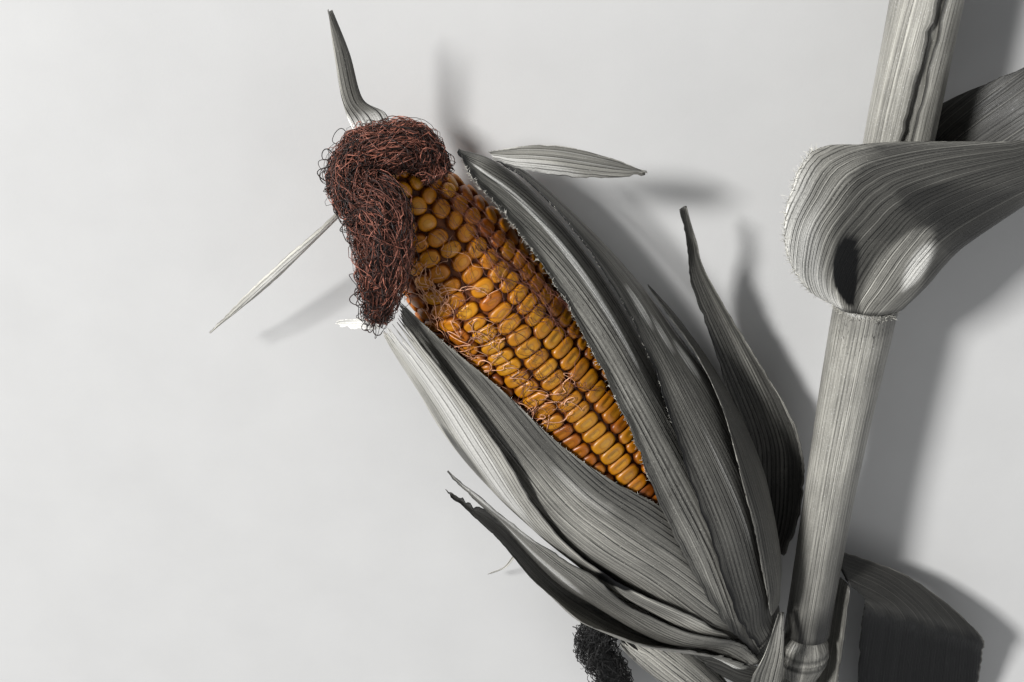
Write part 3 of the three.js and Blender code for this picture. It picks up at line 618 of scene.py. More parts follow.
def straw(name, dark, light, line=1.0, vein=0.25, pitch=1.6, vein_pitch=3.1, rough=0.5, sheen=0.35):
    """Dry striped leaf or husk. grain holds millimetres across and along; look holds tone, which also carries
    painted shade and painted light, specks, and pale, which is real bleach and painted highlights.
    """
    s = Shader(name, Specular_IOR_Level=sheen)
    grain = s.attribute("grain")
    x, _, _ = s.split(grain)
    tone, speck, pale = s.split(s.attribute("look"))

    def streaks(over, down, detail, roughness):
        """Noise with so many waves a millimetre over the grain and down it."""
        return s.noise(s.scaled(grain, (over, down, 1)), 1, detail, roughness)

    broad = streaks(0.35, 0.009, 3, 0.6)
    band = streaks(1.3, 0.018, 2, 0.55)
    fibre = streaks(4.2, 0.09, 2, 0.6)
    cloud = streaks(0.07, 0.035, 3, 0.6)
    paper = streaks(3.2, 1.6, 2, 0.7)
    broken = streaks(1.1, 0.10, 2, 0.5)
    stripe = s.plus(s.times(broad, 0.3), s.times(band, 0.3))
    stripe = s.span(s.plus(stripe, s.times(fibre, 0.4)), 0.36, 0.64)
    colour = s.mix(stripe, dark, light)
    fine = s.times(s.lines(s.plus(x, 0.31), pitch * 0.47, 0.28), 0.45)
    grooves = s.math("MAXIMUM", s.lines(x, pitch, 0.17), fine)
    grooves = s.times(grooves, s.span(broken, 0.34, 0.50, 0.5, 1.0))
    ridges = s.times(s.lines(s.plus(x, 0.7), vein_pitch, 0.075), s.span(band, 0.3, 0.6, 0.4, 1.0))
    colour = s.mix(s.times(ridges, vein), colour, tint(light, 2.2))
    colour = s.shade(colour, s.span(cloud, 0.3, 0.7, 0.72, 1.28))
    colour = s.shade(colour, s.span(paper, 0.3, 0.7, 0.86, 1.14))
    # Pale patches: real bleach, and painted highlights where the marks lay them.
    patchy = s.span(s.plus(paper, s.times(band, 0.5)), 0.55, 0.85, 0.35, 1.15)
    bleach_and_highlight = s.times(pale, patchy, clamp=True)
    colour = s.mix(bleach_and_highlight, colour, BLEACH_AND_HIGHLIGHT)
    colour = s.mix(s.times(grooves, line, clamp=True), colour, tint(dark, 0.12))
    fleck = streaks(1.9, 0.42, 3, 0.7)
    spots = s.times(s.span(fleck, 0.60, 0.66), s.times(speck, 1.6, clamp=True), clamp=True)
    colour = s.mix(spots, colour, MOULD)
    dust = s.span(streaks(3.6, 1.5, 2, 0.6), 0.645, 0.70)
    colour = s.mix(s.times(dust, 0.55), colour, tint(light, 2.4, 0.9))
    colour = s.shade(colour, tone)
    height = s.math("SUBTRACT", s.times(stripe, 0.5), s.times(grooves, 0.5))
    height = s.plus(height, s.times(s.plus(ridges, paper), 0.25))
    height = s.math("SUBTRACT", height, s.times(spots, 0.4))
    return s.finish(colour, height, 0.00022, 0.6, s.span(fibre, 0.3, 0.7, rough - 0.08, rough + 0.12))


def kernel_skin(name, edge, body, heart):
    """Glossy kernel. look holds how near the rim a point is, and the kernel's brightness, painted lighter
    towards the tip.
    """
    s = Shader(name, Specular_IOR_Level=0.38, Coat_Weight=0.12, Coat_Roughness=0.3)
    rim, _, shade = s.split(s.attribute("look"))
    place = s.place()
    cloud = s.noise(place, 260, 3, 0.6)
    fine = s.noise(place, 1500, 2, 0.6)
    at = s.plus(rim, s.span(cloud, 0.3, 0.7, -0.09, 0.09))
    colour = s.ramp(at, [(0.0, heart), (1.0, edge), (0.34, heart), (0.50, body), (0.86, body), (0.97, edge)])
    colour = s.mix(s.span(cloud, 0.45, 0.75, 0, 0.35), colour, tint(body, 0.55))
    ring = s.times(s.span(at, 0.34, 0.41), s.span(at, 0.41, 0.5, 1, 0))
    colour = s.mix(s.times(ring, 0.35), colour, edge)
    colour = s.shade(colour, shade)
    height = s.plus(cloud, s.times(fine, 0.3))
    return s.finish(colour, height, 0.00025, 0.25, s.span(cloud, 0.3, 0.7, 0.32, 0.5))


def threads(name, dark, light, rough=0.55):
    """Dry thread. look holds the brightness of each thread."""
    s = Shader(name, Specular_IOR_Level=0.45)
    place = s.place()
    tone, _, _ = s.split(s.attribute("look"))
    cloud = s.noise(place, 90, 3, 0.6)
    fine = s.noise(place, 900, 2, 0.6)
    share = s.plus(s.times(cloud, 0.4), s.times(fine, 0.6))
    colour = s.shade(s.mix(s.span(share, 0.36, 0.64), dark, light), tone)
    return s.finish(colour, fine, 0.0001, 0.3, s.span(fine, 0.3, 0.7, rough - 0.08, rough + 0.1))


def grey(level, warmth=0.07):
    """A weathered straw grey: a little warm."""
    return (level * (1 + warmth * 0.5), level, level * (1 - warmth * 1.6))


HUSK = straw("husk_grey", grey(0.075), grey(0.24))
HUSK_PALE = straw("husk_pale", grey(0.26), grey(0.66), line=0.8, rough=0.45)
HUSK_DARK = straw("husk_dark", grey(0.020), grey(0.10), rough=0.55)
LEAF = straw("leaf_grey", grey(0.070), grey(0.13), line=0.9, vein=0.8, pitch=1.25, vein_pitch=3.1, rough=0.48)
SHEATH = straw("sheath_grey", grey(0.17), grey(0.42), line=0.6, vein=0.2, pitch=1.2, rough=0.36, sheen=0.45)
STALK = straw("stalk_grey", grey(0.11), grey(0.30), line=0.6, vein=0.2, pitch=1.6, rough=0.4)
SILK_RED = threads("silk_red", (0.07, 0.022, 0.014), (0.30, 0.110, 0.072))
SILK_DARK = threads("silk_dark", (0.010, 0.005, 0.004), (0.065, 0.026, 0.018))
SILK_BLACK = threads("silk_black", (0.003, 0.003, 0.003), (0.014, 0.013, 0.012))
SILK_PINK = threads("silk_pink", (0.34, 0.13, 0.06), (0.80, 0.46, 0.29), 0.45)
HAIR = threads("leaf_hair", grey(0.35), grey(0.68))
BED = threads("cob_bed", (0.06, 0.012, 0.001), (0.16, 0.042, 0.003))

# Golden kernels, from deep orange brown to yellow: the colour of the rim, the body and the heart.
KERNEL_SKINS = [
    kernel_skin("kernel_brown", (0.06, 0.010, 0.001), (0.17, 0.040, 0.001), (0.19, 0.052, 0.002)),
    kernel_skin("kernel_orange", (0.10, 0.018, 0.001), (0.30, 0.083, 0.001), (0.31, 0.100, 0.003)),
    kernel_skin("kernel_amber", (0.13, 0.027, 0.001), (0.37, 0.125, 0.002), (0.37, 0.146, 0.006)),
    kernel_skin("kernel_gold", (0.15, 0.034, 0.001), (0.42, 0.158, 0.003), (0.41, 0.182, 0.011)),
    kernel_skin("kernel_yellow", (0.17, 0.042, 0.001), (0.45, 0.186, 0.004), (0.44, 0.210, 0.017)),
]


# Kernels: rounded blocks in rows about the cob, each a cap of rings with a side wall.
RINGS = np.array([0.0, 0.22, 0.42, 0.6, 0.76, 0.88, 0.96, 1.0, 0.97, 0.93])
WALL = np.array([0, 0, 0, 0, 0, 0, 0, 0, 1.5, 3.4])
HIDDEN_RINGS = [0, 3, 5, 7, 9]  # those that a kernel under the husks keeps
HIDDEN_FROM = 22  # degrees past the husks' edge
SECTORS, HIDDEN_SECTORS = 22, 10


def kernel_cap(rings, wall, sectors, half_width, half_height, squareness, dent):
    """One kernel's points (x round the cob, y along it, z out) and how near its rim each is."""
    angle = 2 * np.pi * np.arange(sectors) / sectors
    c, s = np.cos(angle), np.sin(angle)
    power = 2 / squareness
    ox = half_width * np.sign(c) * np.abs(c) ** power
    oy = half_height * np.sign(s) * np.abs(s) ** power
    x, y = rings[:, None] * ox, rings[:, None] * oy
    crown = -0.2 * rings**2 - 1.4 * (1 - np.sqrt(np.clip(1 - rings**7, 0, 1))) - wall
    z = crown[:, None] - dent * np.exp(-((x / (0.62 * half_width)) ** 2) - (y / (0.34 * half_height)) ** 2)
    return np.stack([x, y, z], -1).reshape(-1, 3), np.repeat(rings, sectors)


def kernel_faces(rings, sectors):
    at = np.arange(rings * sectors).reshape(rings, sectors)
    turned = np.roll(at, -1, axis=1)
    return np.stack([at[:-1], turned[:-1], turned[1:], at[1:]], -1).reshape(-1, 4)


# Along the ear: distance from its base, angle of the husks' edge on either side of the open kernels.
WINDOW_LEFT = [
    [62, 24], [70, 18], [85, 5], [98, -6], [117, -12.5], [132, -18], [145, -29], [157, -34], [166, -43],
    [200, -80],
]
WINDOW_RIGHT = [[62, 16], [71, 20], [83, 30], [97, 37], [110, 41], [126, 54], [148, 64], [166, 70], [200, 80]]


def window_span(t):
    """The angles between which the kernels show at a distance along the ear."""
    return float(value(WINDOW_LEFT, t)), float(value(WINDOW_RIGHT, t))


def kernels():
    random = np.random.default_rng(5)
    points, faces, looks, skins = [], [], [], []
    start = 0
    for row in range(-3, KERNEL_ROWS - 3):
        angle = FIRST_ROW_ANGLE + row * 360 / KERNEL_ROWS
        turn = (angle + 180) % 360 - 180
        t = KERNELS_FROM - 14 + (1 if row % 2 else -1) * 0.25 * KERNEL_PITCH
        while t < KERNELS_TO + 3:
            step = KERNEL_PITCH * random.uniform(0.9, 1.12) * (1.0 + 0.12 * smooth(t, 140, 185))
            centre = t + step / 2
            t += step
            left, right = window_span(centre)
            seen = left - HIDDEN_FROM < turn < right + HIDDEN_FROM
            near_tip = float(smooth(centre, 128, 176))
            radius = float(value(COB_PROFILE, centre))
            half_width = np.pi * radius / KERNEL_ROWS * random.uniform(0.98, 1.04)
            half_height = step / 2 * random.uniform(0.99, 1.04) * (1 + 0.06 * near_tip)
            squareness = 3.0 - 0.8 * near_tip
            dent = (0.40 - 0.5 * near_tip) * random.uniform(0.4, 1.3)
            rings, wall = (RINGS, WALL) if seen else (RINGS[HIDDEN_RINGS], WALL[HIDDEN_RINGS])
            sectors = SECTORS if seen else HIDDEN_SECTORS
            cap, rim = kernel_cap(rings, wall, sectors, half_width, half_height, squareness, dent)
            tilt = np.radians(random.normal(0, 2.0 + 5 * near_tip))
            x = cap[:, 0] * np.cos(tilt) - cap[:, 1] * np.sin(tilt)
            y = cap[:, 0] * np.sin(tilt) + cap[:, 1] * np.cos(tilt)
            bow = random.normal(0, 0.02) * x * cap[:, 1]
            middle = angle + random.normal(0, 0.35 + 1.6 * near_tip)
            out = radius + random.uniform(-0.35, 0.1) - 0.5 * near_tip * random.uniform() + cap[:, 2] + bow
            points.append(ear_point(centre + y, middle + np.degrees(x / radius), out))
            # Each kernel's brightness differs at random; it is also lifted towards the tip as painted light
            # against the silk's shade.
            brightness = random.uniform(0.86, 1.06) * (0.84 + 0.5 * near_tip)
            looks.append(np.stack([rim, 0 * rim, np.full(len(rim), brightness)], -1))
            made = kernel_faces(len(rings), sectors)
            faces.append(made + start)
            start += len(cap)
            # Painted shade: yellow in the middle of the open part, and darker skins beside the left husk, by
            # the right edge and towards the tip, where husks and silk shade the kernels.
            shade = 3.4 - 1.0 * near_tip - 1.8 * smooth((left + 14 - turn) / 14, 0, 1.2)
            shade = shade + random.normal(0, 0.6) - 0.9 * (turn > right - 10)
            skins.append(np.full(len(made), int(np.clip(round(shade), 0, len(KERNEL_SKINS) - 1))))
    piece(
        "kernels", np.concatenate(points), np.concatenate(faces), ["cob"], KERNEL_SKINS,
        look=np.concatenate(looks), face_material=np.concatenate(skins),
    )


def cob_bed():
    """The cob under the kernels: chaffy, and bare at its base and its tip."""
    ts = np.concatenate([np.arange(0, 200, 2.0), [201, 203, 205, 206.5, 207.3]])
    angles = np.arange(0, 360, 5.0)
    t, angle = np.meshgrid(ts, angles, indexing="ij")
    inner = value(COB_PROFILE, t) - 2.6 * smooth(t, 20, 50) * smooth(206 - t, 0, 14)
    inner = inner * np.where(t > 203, np.sqrt(np.clip((208 - t) / 5, 0.02, 1)), 1)
    inner = inner + 0.35 * waves(t * 3, angle * 1.2, 3, 9)
    points = ear_point(t, angle, np.maximum(inner, 0.6)).reshape(-1, 3)
    look = np.broadcast_to([1.0, 0.0, 0.0], points.shape)
    piece("cob_bed", points, tube_faces(len(angles), len(ts)), ["cob"], [BED], look=look)


# Husks.
def husk_surface(layer, rails):
    def surface(u, v):
        t, angle, lift = across(rails, u, v).T
        return ear_point(t, angle, layer_radius(t, layer) + lift)

    return surface


def free_surface(rails, cup=0.0):
    """A strip between two rails whose middle stands proud of its edges by cup."""

    def surface(u, v):
        points = across(rails, u, v)
        side = across(rails, np.ones_like(u), v) - across(rails, np.zeros_like(u), v)
        ahead = across(rails, u, np.minimum(v + 0.02, 1)) - across(rails, u, np.maximum(v - 0.02, 0))
        rise = unit(np.cross(side, ahead))
        return points + rise * (cup * (1 - (2 * u - 1) ** 2))[:, None]

    return surface


HUSK_FINISH = {
    "husk_left_inner": dict(
        seed=1, material=HUSK, margin=(0.2, -0.5), margin_width=0.8, ragged_tip=5, tone=0.88,
        # Painted highlights: the lighter band (tone 0.35, u 0.6 to 0.86) and the pale streaks.
        marks=(
            ("tone", -0.35, 0.88, 0.99, 0.1, 1.0, 0.03), ("tone", 0.35, 0.6, 0.86, 0.2, 0.62, 0.08),
            ("pale", 0.35, 0.72, 0.78, 0.62, 0.86, 0.02), ("pale", 0.55, 0.63, 0.67, 0.45, 0.8, 0.02),
            ("tone", -0.3, 0.5, 0.62, 0.1, 0.6, 0.05), ("pale", 0.25, 0.86, 0.9, 0.42, 0.6, 0.02),
        ),
    ),
    "husk_left_middle": dict(
        seed=2, material=HUSK_PALE, margin=(-0.5, 0.6), margin_width=0.9, ragged=(0.9, 0.4), ragged_tip=9,
        # Painted highlights: the pale patches. Painted shade: the dark triangle of the fold (u 0.34 to 0.54),
        # the black slit under the next husk (tone -0.97) and the band by the right edge (u 0.78 to 0.95).
        tone=0.72, marks=(
            ("tone", -0.40, 0.0, 0.85, -0.1, 0.50, 0.07), ("pale", 0.9, 0.55, 0.88, 0.62, 1.1, 0.06),
            ("tone", -0.25, 0.35, 0.52, 0.78, 0.93, 0.04), ("tone", -0.5, 0.34, 0.54, 0.68, 0.82, 0.03),
            ("tone", -0.97, 0.84, 1.1, 0.37, 0.455, 0.012), ("speck", 0.5, 0.6, 0.9, 0.3, 0.62, 0.08),
            ("pale", 0.7, 0.5, 0.8, 0.58, 0.72, 0.05), ("tone", -0.3, 0.78, 0.95, 0.2, 0.6, 0.05),
        ),
    ),
    "husk_left_outer": dict(
        seed=3, material=HUSK, margin=(0.8, 0.6), margin_width=1.4, ragged=(2.4, 0.8), row=1.7, swell=0.4,
        frill=0.5, tone=0.9, speck=0.5, marks=(
            ("pale", 0.8, 0.72, 1.1, 0.72, 1.1, 0.05), ("tone", -0.35, 0.0, 0.45, 0.15, 0.9, 0.1),
            ("pale", 0.6, 0.5, 0.62, 0.5, 0.8, 0.04), ("tone", -0.25, 0.8, 1.0, 0.3, 0.6, 0.06),
        ),
    ),
    "husk_left_lowest": dict(
        seed=4, material=HUSK, margin=(0.7, 0.6), margin_width=1.6, ragged=(2.6, 1.6), row=1.7, swell=0.4,
        frill=0.6, tone=1.1, speck=0.35, marks=(
            ("pale", 0.8, 0.45, 0.9, -0.1, 0.2, 0.06), ("tone", -0.5, -0.1, 1.1, 0.62, 1.1, 0.1),
            ("tone", 0.5, 0.7, 1.1, 0.2, 0.55, 0.06),
        ),
    ),
    "husk_back_inner": dict(seed=5, material=HUSK, ragged_tip=6, margin=(0.3, 0.3)),
    "husk_back_outer": dict(seed=6, material=HUSK, ragged_tip=8, ragged=(1, 1), margin=(0.3, 0.3), tone=1.1),
    "husk_right_inner": dict(
        seed=7, material=HUSK, margin=(0.85, 0.2), margin_width=3.4, ragged=(0.6, 0), roll=(0.9, 0),
        # Painted shade: darker at the base (v under 0.12) and at the upper end by the kernels (u under 0.24).
        # Painted highlight: the thin pale line at u 0.225 to 0.28.
        swell=0.2, row=2.2, speck=0.2, tone=1.25, marks=(
            ("pale", 0.9, 0.225, 0.28, 0.47, 0.95, 0.008), ("tone", -0.5, 0.0, 0.24, 0.66, 1.1, 0.06),
            ("tone", -0.45, -0.1, 1.1, -0.1, 0.12, 0.08),
            ("speck", 0.35, 0.04, 0.2, 0.3, 0.75, 0.05), ("tone", -0.35, 0.3, 0.5, -0.1, 1.0, 0.08),
        ),
    ),
    "husk_right_outer": dict(
        seed=8, material=HUSK, margin=(0.75, 0.3), margin_width=1.6, ragged=(0.8, 0.4), speck=0.2,
        # Painted shade: darker at the base (v under 0.14) and on the upper left (u under 0.38, v over 0.62).
        roll=(0.6, 0), tone=0.8, marks=(
            ("tone", -0.45, -0.1, 1.1, -0.1, 0.14, 0.08),
            ("tone", -0.5, 0.0, 0.38, 0.62, 1.1, 0.08), ("pale", 1.0, 0.26, 0.42, 0.60, 0.68, 0.02),
            ("pale", 1.0, 0.42, 0.58, 0.54, 0.62, 0.02), ("pale", 0.9, 0.60, 0.76, 0.48, 0.56, 0.02),
            ("pale", 1.1, 0.85, 0.95, 0.44, 0.66, 0.012), ("speck", 0.4, 0.02, 0.3, 0.5, 1.0, 0.06),
            ("tone", -0.4, 0.0, 0.12, 0.1, 0.6, 0.05), ("pale", 0.35, 0.3, 0.34, 0.25, 0.44, 0.015),
            ("tone", -0.2, 0.2, 0.3, 0.0, 0.5, 0.04),
        ),
    ),
    "husk_right_fold": dict(
        seed=9, material=HUSK_DARK, margin=(-2.6, 0.4), margin_width=1.0, ragged_tip=4, ragged=(0.3, 0.3),
        tone=0.9, speck=0.7, row=1.6, marks=(("tone", 1.3, -0.1, 1.1, -0.1, 0.25, 0.12),),
    ),
}
FREE_FINISH = {
    "husk_right_free": dict(
        seed=21, material=HUSK_DARK, cup=2.5, speck=1.0, margin=(0.2, -2.4), margin_width=1.6,
        ragged=(0.4, 0.6), swell=0.4, row=1.8, tone=0.85, slot="husk",
        marks=(("tone", 0.9, 0.55, 0.75, 0.2, 0.8, 0.05),),
    ),
    "husk_tip_right": dict(
        seed=22, material=HUSK_PALE, cup=1.5, margin=(0.3, -0.2), margin_width=0.8, row=0.9, slot="husk_tip",
        ragged=(0.4, 0.4), speck=0.05, tone=0.6, marks=(("pale", 0.8, -0.1, 0.5, -0.1, 0.7, 0.1),),
    ),
    "husk_tip_left": dict(
        seed=23, material=HUSK_PALE, cup=1.0, margin=(0.3, 0.1), row=1.2, slot="husk_tip", ragged=(0.5, 0.5),
        marks=(("pale", 0.8, 0.3, 0.8, -0.1, 0.8, 0.1),),
    ),
    "husk_tip_upright": dict(
        seed=24, material=HUSK, cup=1.0, margin=(-1.4, 0.2), margin_width=1.0, row=1.0, slot="husk_tip",
        tone=0.8, marks=(("pale", 1.1, -0.1, 1.1, -0.1, 0.28, 0.05),),
    ),
    "husk_tip_torn": dict(
        seed=27, material=HUSK_PALE, cup=0.5, row=0.5, slot="husk_tip", ragged=(0.6, 0.6), ragged_tip=3,
        tone=1.1, pale=0.8, swell_size=9,
    ),
    "husk_base_bract": dict(
        seed=25, material=HUSK_DARK, cup=2.0, margin=(0.3, -0.8), margin_width=1.2, row=1.0, slot="husk",
        # Painted shade: tone 0.5 darkens the whole bract, which lies in shade at the ear's base.
        tone=0.5,
    ),
    "sheath_flap": dict(
        seed=26, material=HUSK, cup=1.2, margin=(-0.8, 0.5), margin_width=1.2, row=1.2, slot="leaf",
        tone=0.9, speck=0.4,
    ),
}


def husks():
    for name, (layer, rails) in HUSKS.items():
        sheet(name + "_skin", husk_surface(layer, rails), nodes=[name], slot="husk", **HUSK_FINISH[name])
    for name, rails in FREE_HUSKS.items():
        finish = dict(FREE_FINISH[name])
        surface = free_surface(rails, finish.pop("cup"))
        sheet(name + "_skin", surface, nodes=[name], **finish)


# The stalk, its sheaths and leaves.
def sheath_surface(start, end, left, right, standoff):
    def surface(u, v):
        y = start + (end - start) * v
        from_angle, to_angle = value(left, y), value(right, y)
        near = table(standoff, y)
        out = near[:, 0] + (near[:, 1] - near[:, 0]) * u - BLADE_THICKNESS / 2
        return stalk_point(y, from_angle + (to_angle - from_angle) * u, out)

    return surface


def upper_leaf_surface(u, v):
    base = v < UPPER_LEAF_JOIN
    points = np.empty((len(u), 3))
    points[base] = leaf_base(u[base], v[base] / UPPER_LEAF_JOIN)
    u_far, w = u[~base], (v[~base] - UPPER_LEAF_JOIN) / (1 - UPPER_LEAF_JOIN)
    seam = leaf_base(u_far, np.ones_like(u_far)) - leaf_course(u_far, np.zeros_like(u_far))
    points[~base] = leaf_course(u_far, w) + seam * (1 - smooth(w, 0, 0.15))[:, None]
    return points


def leaf_base(u, v):
    return across(UPPER_LEAF_BASE, np.where(u < 0.5, u * 1.2, 0.6 + (u - 0.5) * 0.8), v)


def leaf_course(u, v):
    row = along(UPPER_LEAF_COURSE, v)
    ahead = along(UPPER_LEAF_COURSE, np.minimum(v + 0.01, 1))
    behind = along(UPPER_LEAF_COURSE, np.maximum(v - 0.01, 0))
    way = ahead[:, :3] - behind[:, :3]
    way[:, 2] = 0
    way = unit(way)
    inward = np.stack([-way[:, 1], way[:, 0], 0 * way[:, 0]], -1)
    near = u < 0.5
    share = np.abs(1 - 2 * u)
    width = np.where(near, row[:, 3], row[:, 5]) * share
    spread = np.radians(np.where(near, row[:, 4], row[:, 6]))
    lead = np.where(near, row[:, 7], row[:, 8]) * share
    rise = np.where(near, 1, -1) * width * np.sin(spread)
    return row[:, :3] + inward * (width * np.cos(spread))[:, None] + way * lead[:, None] + UP * rise[:, None]


def leaves():
    sheet(
        "upper_leaf", upper_leaf_surface, 31, ["upper_leaf_base", "upper_leaf_blade", "upper_leaf_tip"],
        "leaf", LEAF, rib=2.6, rib_height=0.04, crease=0.06, thickness=0.7, swell=0.5, swell_size=45,
        frill=0.8, row=3.2, ragged=(0.3, 0.5), tone=0.65, margin=(-0.3, 0.2), speck=0.04,
        # Painted light and shade: the light near lobe (tone 1.9, pale 0.3), the light V of the far lobe (tone
        # 1.6, pale 0.4), the black pocket in the fold (tone -4.0), the cast shadow across the blade (tone
        # -0.45) and the darker far half (tone -0.2).
        marks=(
            ("tone", 1.9, -0.1, 0.20, -0.1, 0.20, 0.03), ("tone", 1.6, 0.24, 0.46, -0.1, 0.15, 0.012),
            ("pale", 0.3, -0.1, 0.15, -0.1, 0.15, 0.04),
            ("tone", -4.0, 0.168, 0.232, 0.012, 0.105, 0.010), ("tone", -0.45, 0.2, 0.62, 0.14, 0.24, 0.03),
            ("tone", -0.2, 0.55, 1.1, 0.0, 1.1, 0.1), ("pale", 0.4, 0.36, 0.42, 0.05, 0.14, 0.01),
        ),
    )
    sheet(
        "lower_leaf", lambda u, v: across(LOWER_LEAF, u, v), 32, ["lower_leaf_blade", "lower_leaf_hanging"],
        "leaf", LEAF, rib=3.2, rib_height=0.05, thickness=0.7, swell=0.4, swell_size=40, row=2.0,
        # Painted shade: tone 0.26 darkens the whole leaf, and the mark darkens its hanging part more (v over
        # 0.33).
        ragged=(0.5, 0.5), tone=0.26, margin=(0.1, -1.6), margin_width=1.0, speck=0.2,
        marks=(("tone", -0.45, -0.1, 1.1, 0.33, 1.1, 0.05),),
    )


# Each sheath on the stalk: its node, from and to along the stalk, then rows of y with the angle of its left
# edge, the angle of its right edge, and how far the outside of each edge is beyond STALK_PROFILE's radius.
SHEATHS = {
    "upper_sheath": [
        "upper_leaf_sheath", -116, COLLAR_Y, [[-120, -178], [9, -178]], [[-120, 174], [9, 174]],
        [[-120, 0, 0], [9, 0, 0]]],
    "top_sheath": [
        "top_leaf_sheath", COLLAR_Y + 3.5, 116, [[11, 2], [70, 3], [116, 16]],
        [[11, 350], [70, 352], [116, 370]], [[11, 0, 0], [116, 0, 0]]],
    "lower_sheath": [
        "lower_leaf_sheath", -187, -98, [[-187, 62], [-150, 72], [-98, 84]],
        [[-187, 292], [-176, 230], [-98, 214]], [[-187, 3, 2], [-150, 6, 2], [-98, 5, 2]]],
}
SHEATH_FINISH = {
    "upper_sheath": dict(
        seed=41, speck=0.08, marks=(
            ("tone", -0.4, -0.1, 1.1, 0.93, 1.1, 0.02), ("speck", 0.6, -0.1, 1.1, 0.9, 1.1, 0.03),
            # Painted shade: darker low down (v under 0.42, and again under 0.10) and down the right side (u
            # 0.52 to 0.85).
            ("tone", -0.42, -0.1, 1.1, -0.1, 0.42, 0.10), ("tone", -0.2, 0.52, 0.85, -0.1, 1.1, 0.04),
            ("tone", -0.35, -0.1, 1.1, -0.1, 0.10, 0.03),
        ),
    ),
    "top_sheath": dict(seed=42, ragged=(0.5, 0.6), margin=(0.9, 0.9), margin_width=1.3, speck=0.04),
    "lower_sheath": dict(
        seed=43, ragged=(0.6, 1.4), margin=(0.5, 0.8), margin_width=2.4, speck=0.3, tone=0.75),
}


def sheaths():
    for name, (node, *shape) in SHEATHS.items():
        sheet(
            name, sheath_surface(*shape), nodes=[node], slot="stalk_skin", material=SHEATH, thickness=1.1,
            rib=1.6, rib_height=0.03, crease=0.05, swell=0.06, row=2.6, **SHEATH_FINISH[name],
        )


# The swollen joint of the stalk: y, how far it stands out of the outside of the sheaths.
JOINT = [
    [-134, -1.2], [-130, 0], [-127.5, 0.75], [-126, 0.2], [-125, 0.9], [-123.6, 0.3], [-121, 0], [-118, -1.9],
]
# The rings of a cut face: share of the stalk's radius, how far the pith is sunk there.
CUT_RINGS = [(0.02, 0.5), (0.35, 0.2), (0.7, 0.25), (0.93, 0.1)]


def stalk():
    """The stalk: a ribbed rod with a swollen joint, cut straight at both ends."""
    low, high = STALK_ENDS
    near_joint = np.arange(-136, -114, 0.5)
    ys = np.concatenate([np.arange(low, -136, 2.5), near_joint, np.arange(-114, high, 4.0), [high]])
    angles = np.arange(0, 360, 4.0)
    sides = len(angles)
    rings, grain, look = [], [], []
    stations = [(ys[0], share, sink) for share, sink in CUT_RINGS] + [(y, 1.0, 0.0) for y in ys]
    stations += [(ys[-1], share, -sink) for share, sink in CUT_RINGS[::-1]]
    for y, share, sink in stations:
        swollen = JOINT[0][0] < y < JOINT[-1][0]
        out = value(JOINT, y) if swollen else -SHEATH_DEPTH
        rib = 0.10 * np.sin(np.radians(angles) * 34) + 0.05 * waves(angles, y * 0.3, 17, 30)
        sheathed = table(STALK_PROFILE, y)[0, 2]
        radius = (sheathed + out) * share
        at = stalk_point(np.full(sides, y), angles, radius + rib * share - sheathed)
        at[:, 1] += sink + 0.25 * (share < 1) * waves(at[:, 0] * 3, at[:, 2] * 3, 18, 6)
        rings.append(at)
        grain.append(np.stack([np.radians(angles) * 9, np.full(sides, y), np.full(sides, 51.0)], -1))
        ring = math.exp(-(((y + 127.2) / 0.9) ** 2)) + 0.8 * math.exp(-(((y + 123.4) / 0.7) ** 2))
        streaks = smooth(waves(angles, 0 * angles, 19, 22), 0.1, 0.9) * smooth(y, -124, -121) * (y < -112)
        tone = np.clip(1.0 - 0.75 * ring - 0.6 * streaks, 0.1, 2)
        look.append(np.stack([tone, np.full(sides, 0.1 + 0.5 * swollen), np.full(sides, 0.0)], -1))
    cap = len(CUT_RINGS) * sides
    faces = tube_faces(sides, len(stations))
    far_cap = len(stations) * sides - cap
    skins = [1 if min(face) < cap or max(face) >= far_cap else 0 for face in faces]
    piece(
        "stalk_core", np.concatenate(rings), faces, ["stalk"], [STALK, PITH],
        np.concatenate(grain), np.concatenate(look), skins,
    )


def pith():
    s = Shader("cut_pith", Specular_IOR_Level=0.2, Roughness=0.8)
    place = s.place()
    cells = s.node("ShaderNodeTexVoronoi", {"Vector": place, "Scale": 900.0}).outputs["Distance"]
    dots = s.span(cells, 0.1, 0.32, 1, 0)
    cloud = s.noise(place, 400, 3, 0.6)
    colour = s.mix(s.span(cloud, 0.3, 0.7), grey(0.42, 0.12), grey(0.60, 0.12))
    colour = s.mix(s.times(dots, 0.7), colour, grey(0.13, 0.2))
    return s.finish(colour, s.plus(cloud, dots), 0.0003, 0.5)


PITH = pith()


def shank():
    angle = np.arange(0, 360, 8.0)
    f = np.linspace(0, 1, 30)
    turn = np.radians(angle)
    radius = SHANK_RADIUS + 0.12 * np.sin(turn * 14)
    grain = np.stack(np.broadcast_arrays(turn * SHANK_RADIUS, f[:, None] * 30, 52.0), -1)
    look = [0.6, 0.3, 0.0]
    tube("shank_skin", along(SHANK, f), angle, radius, ["shank"], STALK, look, grain)


# The small second ear: husks wrapped about it, torn at its mouth.
def second_ear_surface(first, last, out, reach):
    def surface(u, v):
        f = v * reach
        path = along(SECOND_EAR_AXIS, f)
        ahead, behind = (along(SECOND_EAR_AXIS, np.clip(f + by, 0, 1)) for by in (0.02, -0.02))
        right, top = sideways(unit(ahead - behind))
        turn = np.radians(first + (last - first) * u)
        radius = (value(SECOND_EAR_RADIUS, f) + out)[:, None]
        return path + (right * np.cos(turn)[:, None] + top * np.sin(turn)[:, None]) * radius

    return surface


